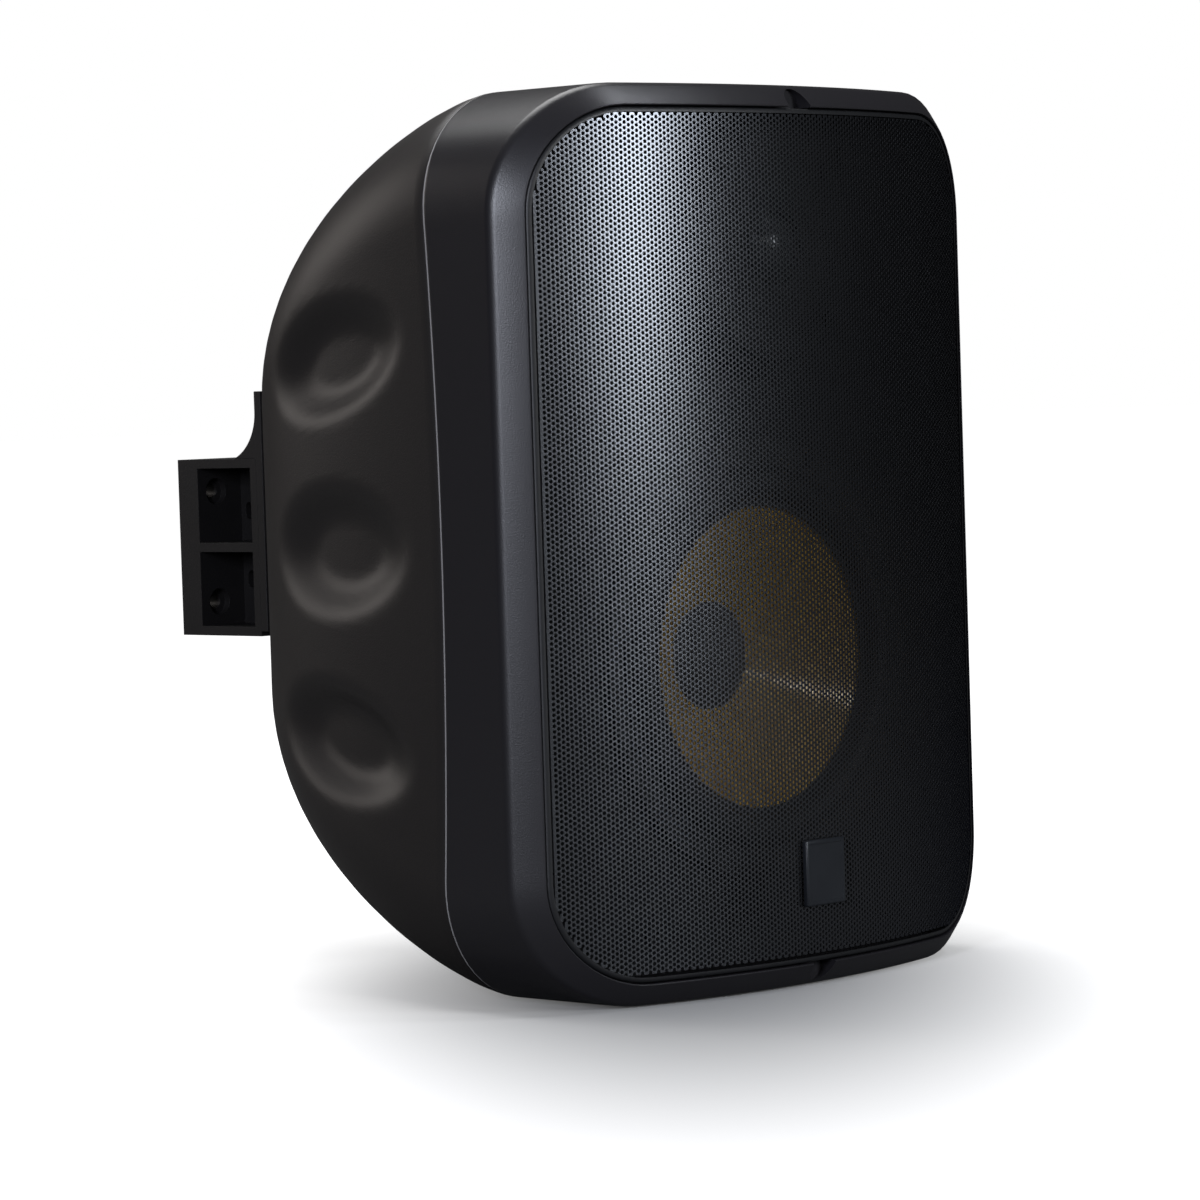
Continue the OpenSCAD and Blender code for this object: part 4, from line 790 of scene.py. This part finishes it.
# Dust cap. A domed cap of dark felt-like cloth, glued on the cone over the coil, which it
# keeps clean.
cap_r, cap_h, cap_wall = 20.8 * mm, 6.7 * mm, 0.6 * mm
cap_ball = (cap_r ** 2 + cap_h ** 2) / (2 * cap_h)
cap_seat = cone_line(cap_r)
cap_ring_n = 12


def cap_line(r):
    """Depth of the cap's face at a radius: it is part of a ball."""
    return cap_seat - cap_h + cap_ball - sqrt(max(0.0, cap_ball ** 2 - r ** 2))


cap_radii = [cap_r * k / cap_ring_n for k in range(cap_ring_n + 1)]
cap_profile = [(r, cap_line(r)) for r in cap_radii]
cap_profile += [(r, cap_line(r) + cap_wall) for r in reversed(cap_radii)]
cap_cloth = grained("cap_cloth", (0.022, 0.022, 0.024), 0.75, scale=2500, depth=0.5, mottle=0.2)
cap = spun("cap", cap_profile, woofer_y, woofer_z)
finish_piece(cap, "cone", "cap_felt", cap_cloth, "dust_cap")

# Woofer surround. A rubber half roll with a flat lip on each side; one lip is glued to the
# cone's edge and the other to the basket's flange.
roll_in, roll_r, roll_wall = 59.8 * mm, 6.6 * mm, 0.7 * mm
roll_mid = roll_in + roll_r
roll_out = roll_mid + roll_r
lip_in, lip_out, lip_root = 2.2 * mm, 3.2 * mm, 0.2 * mm
roll_drop, lip_seat = 0.1 * mm, 0.02 * mm
roll_steps = 14
outer_roll = [(roll_mid - roll_r * cos(pi * k / roll_steps), -roll_r * sin(pi * k / roll_steps))
              for k in range(roll_steps + 1)]
inner_roll = [(roll_mid - (roll_r - roll_wall) * cos(pi * k / roll_steps),
               -(roll_r - roll_wall) * sin(pi * k / roll_steps) - roll_drop)
              for k in range(roll_steps, -1, -1)]
roll_profile = [(roll_in - lip_in, -roll_drop), (roll_in - lip_in, -roll_wall),
                (roll_in - lip_root, -roll_wall)] + outer_roll[1:-1]
roll_profile += [(roll_out + lip_root, -roll_wall), (roll_out + lip_out, -roll_wall),
                 (roll_out + lip_out, -lip_seat)] + inner_roll
rubber = grained("rubber", (0.008, 0.008, 0.0085), 0.6, scale=1200, depth=0.15, mottle=0.15,
                specular=0.25)
surround = spun("surround", roll_profile, woofer_y, woofer_z)
finish_piece(surround, "cabinet", "rubber", rubber, "woofer_surround")

# Inner pieces of the drivers, the magnets, the board and the wiring. They are screwed, glued or
# soldered in place inside the cabinet, each in the finish of what it is made of.
painted_steel = grained("painted_steel", (0.01, 0.01, 0.0105), 0.6, 0, 900, 0.3, 0.15,
                        specular=0.25)
ferrite = grained("ferrite", (0.08, 0.08, 0.085), 0.7, 0.0, 400, 0.4, 0.25)
driver_plastic = grained("driver_plastic", (0.008, 0.008, 0.009), 0.6, scale=1500, depth=0.2,
                        specular=0.2)
copper = grained("copper_wire", (0.62, 0.28, 0.12), 0.32, 1.0, 2500, 0.4, 0.15)
brass_turned = grained("brass_turned", (0.7, 0.5, 0.2), 0.3, 1.0, 600, 0.15, 0.12)
cloth = grained("spider_cloth", (0.45, 0.33, 0.13), 0.85, scale=2200, depth=0.6, mottle=0.2)
film = grained("coil_film", (0.35, 0.2, 0.08), 0.35, scale=400, depth=0.1)
dome_metal = grained("dome_metal", (0.05, 0.051, 0.055), 0.22, 0.3, 1500, 0.06, 0.08)
solder_mask = grained("solder_mask", (0.02, 0.13, 0.06), 0.35, scale=300, depth=0.1, mottle=0.25)
anodised = grained("anodised", (0.02, 0.02, 0.022), 0.4, 0.7, 800, 0.15, 0.1)
tape = grained("winding_tape", (0.65, 0.48, 0.08), 0.3, scale=200, depth=0.1, mottle=0.15)
sleeve = grained("capacitor_sleeve", (0.03, 0.04, 0.12), 0.3, scale=300, depth=0.05, mottle=0.1)
chip_black = grained("chip_black", (0.02, 0.02, 0.02), 0.5, scale=1500, depth=0.15)
tinned = grained("tinned_steel", (0.62, 0.63, 0.65), 0.3, 1.0, 400, 0.1, 0.15)
terminal_green = grained("terminal_green", (0.03, 0.22, 0.07), 0.35, scale=900, depth=0.1)
red_plastic = grained("red_plastic", (0.45, 0.03, 0.025), 0.3, scale=700, depth=0.08)
red_sleeve = grained("red_sleeve", (0.4, 0.03, 0.03), 0.45, scale=700, depth=0.1)
blue_sleeve = grained("blue_sleeve", (0.03, 0.05, 0.3), 0.45, scale=700, depth=0.1)
light_pipe, pipe_tree, pipe_shader = new_material("light_pipe", (0.25, 0.75, 0.4), 0.15)
pipe_haze = add_node(pipe_tree, "ShaderNodeTexNoise")
pipe_haze.inputs["Scale"].default_value = 900
pipe_gloss = add_node(pipe_tree, "ShaderNodeMapRange")
pipe_gloss.inputs["To Min"].default_value = 0.1
pipe_gloss.inputs["To Max"].default_value = 0.22
pipe_tree.links.new(pipe_haze.outputs["Fac"], pipe_gloss.inputs["Value"])
pipe_tree.links.new(pipe_gloss.outputs["Result"], pipe_shader.inputs["Roughness"])
pipe_shader.inputs["Transmission Weight"].default_value = 0.6

finish_of = {
    "bracket_metal": cast_coat, "steel": turned_steel, "zinc_screw": zinc,
    "black_screw": black_zinc, "cabinet_plastic": cabinet_plastic,
    "bezel_plastic": bezel_plastic, "grille_steel": shaded_fold_coat, "badge": badge_face,
    "basket_steel": painted_steel, "brass": brass_turned, "rubber": rubber,
    "cone_weave": weave, "spider_cloth": cloth, "cap_felt": cap_cloth, "dome": dome_metal,
    "former": film, "copper": copper, "ferrite": ferrite, "driver_plastic": driver_plastic,
    "board_green": solder_mask, "heatsink": anodised, "tape_yellow": tape, "capacitor": sleeve,
    "chip": chip_black, "socket_metal": tinned, "terminal_green": terminal_green,
    "light_pipe": light_pipe, "button_red": red_plastic, "wire_red": red_sleeve,
    "wire_blue": blue_sleeve,
}
for node, piece in frame["nodes"].items():
    piece.data.materials.clear()
    piece.data.materials.append(finish_of[slot_of[node]])

# Connector panel. Moulded plate screwed over the cut-out in the cabinet's back, with the network
# socket, the terminal block, the status light and the reset button behind its windows.
eased_copy("connector_panel", 0.4 * mm, cabinet_plastic)
eased_copy("network_jack", 0.2 * mm, tinned)
eased_copy("terminal_block", 0.2 * mm, terminal_green)
eased_copy("reset_button", 0.3 * mm, red_plastic)

# Floor, light and background. A plain pale floor lies under the cabinet, with soft lamps in
# front, at both sides, above and behind, and white all round. The floor is paler to the camera
# than to the cabinet. It glows more with distance from a place by the cabinet's foot, drawn out
# towards the camera. Far off it is white, and near the foot a painted shadow shows, which
# the lamps' own shadow deepens.
floor_gap, floor_w = 0.5 * mm, 40
floor_z = cad_box[0][2] - floor_gap
# Painted shadow: where the floor's glow is low, round the cabinet's foot and drawn out towards
# the camera.
painted_shadow_middle, painted_shadow_turn, painted_shadow_narrow = (-0.035, -0.285, floor_z), radians(-46), 0.34
painted_shadow_near, painted_shadow_far = 0.12, 0.7
dark_grey, pale_grey, night_level = 0.12, 0.45, 0.025
bpy.ops.object.select_all(action="DESELECT")
bpy.ops.mesh.primitive_plane_add(size=floor_w, location=(0, 0, floor_z))
floor = bpy.context.object
floor.name = "floor"
floor_paint, floor_tree, floor_shader = new_material("floor_paint", (dark_grey,) * 3, 0.9)
floor_shader.inputs["Specular IOR Level"].default_value = 0.0
floor_place = add_node(floor_tree, "ShaderNodeTexCoord")
floor_turn = add_node(floor_tree, "ShaderNodeMapping", vector_type="TEXTURE")
floor_turn.inputs["Location"].default_value = painted_shadow_middle
floor_turn.inputs["Rotation"].default_value = (0, 0, painted_shadow_turn)
floor_turn.inputs["Scale"].default_value = (painted_shadow_narrow, 1, 1)
floor_far = add_node(floor_tree, "ShaderNodeVectorMath", operation="LENGTH")
# Painted shadow: the glow rises from nothing near the cabinet's foot to full far off.
painted_shadow_ramp = add_node(floor_tree, "ShaderNodeMapRange", interpolation_type="SMOOTHSTEP")
painted_shadow_ramp.inputs["From Min"].default_value = painted_shadow_near
painted_shadow_ramp.inputs["From Max"].default_value = painted_shadow_far
glow = add_node(floor_tree, "ShaderNodeEmission")
pale = add_node(floor_tree, "ShaderNodeBsdfDiffuse")
pale.inputs["Color"].default_value = (pale_grey, pale_grey, pale_grey, 1)
seen = add_node(floor_tree, "ShaderNodeLightPath")
lit = add_node(floor_tree, "ShaderNodeAddShader")
pick = add_node(floor_tree, "ShaderNodeMixShader")
for a, b in ((floor_place.outputs["Object"], floor_turn.inputs["Vector"]),
             (floor_turn.outputs[0], floor_far.inputs[0]),
             (floor_far.outputs["Value"], painted_shadow_ramp.inputs["Value"]),
             (painted_shadow_ramp.outputs["Result"], glow.inputs["Strength"]),
             (pale.outputs[0], lit.inputs[0]), (glow.outputs[0], lit.inputs[1]),
             (seen.outputs["Is Camera Ray"], pick.inputs[0]),
             (floor_shader.outputs[0], pick.inputs[1]), (lit.outputs[0], pick.inputs[2]),
             (pick.outputs[0], floor_tree.nodes["Material Output"].inputs["Surface"])):
    floor_tree.links.new(a, b)
floor.data.materials.append(floor_paint)

world = bpy.data.worlds.new("studio")
bpy.context.scene.world = world
world.use_nodes = True
sky = world.node_tree.nodes["Background"]
path = world.node_tree.nodes.new("ShaderNodeLightPath")
level = world.node_tree.nodes.new("ShaderNodeMapRange")
level.inputs["To Min"].default_value = night_level
world.node_tree.links.new(path.outputs["Is Camera Ray"], level.inputs["Value"])
world.node_tree.links.new(level.outputs["Result"], sky.inputs["Strength"])
sky.inputs["Color"].default_value = (1, 1, 1, 1)


def soft_lamp(name, place, aim, width, height, power, color=(1, 1, 1)):
    """A rectangular lamp at a place, turned to what it aims at."""
    data = bpy.data.lights.new(name, "AREA")
    data.shape = "RECTANGLE"
    data.size, data.size_y = width, height
    data.energy = power
    data.color = color
    lamp = bpy.data.objects.new(name, data)
    bpy.context.scene.collection.objects.link(lamp)
    lamp.location = place
    lamp.rotation_mode = "QUATERNION"
    lamp.rotation_quaternion = (Vector(aim) - Vector(place)).to_track_quat("-Z", "Y")


middle = (0, -0.22, 0.0)
soft_lamp("front_lamp", (0.48, -2.3, 0.5), (0, -0.3, 0.05), 0.45, 0.7, 20, (0.9, 0.95, 1))
soft_lamp("streak_lamp", (-0.45, -2.05, 0.55), (0, -0.3, -0.04), 0.1, 0.18, 4.5)
soft_lamp("bezel_lamp", (-1.35, -1.85, 0.85), middle, 0.3, 0.8, 2, (0.8, 0.84, 1))
soft_lamp("left_lamp", (-2.1, -1.15, 0.5), middle, 0.25, 0.6, 24, (0.84, 0.88, 1))
soft_lamp("right_lamp", (0.62, -1.15, 1.85), middle, 0.35, 0.35, 7, (0.9, 0.93, 1))
soft_lamp("back_lamp", (-0.7, 1.8, 0.7), middle, 0.8, 0.9, 7, (1, 0.93, 0.88))
soft_lamp("top_lamp", (0.15, 0.4, 2.1), (0, -0.25, 0), 1.6, 1.6, 46)

bpy.context.scene.view_settings.view_transform = "Standard"
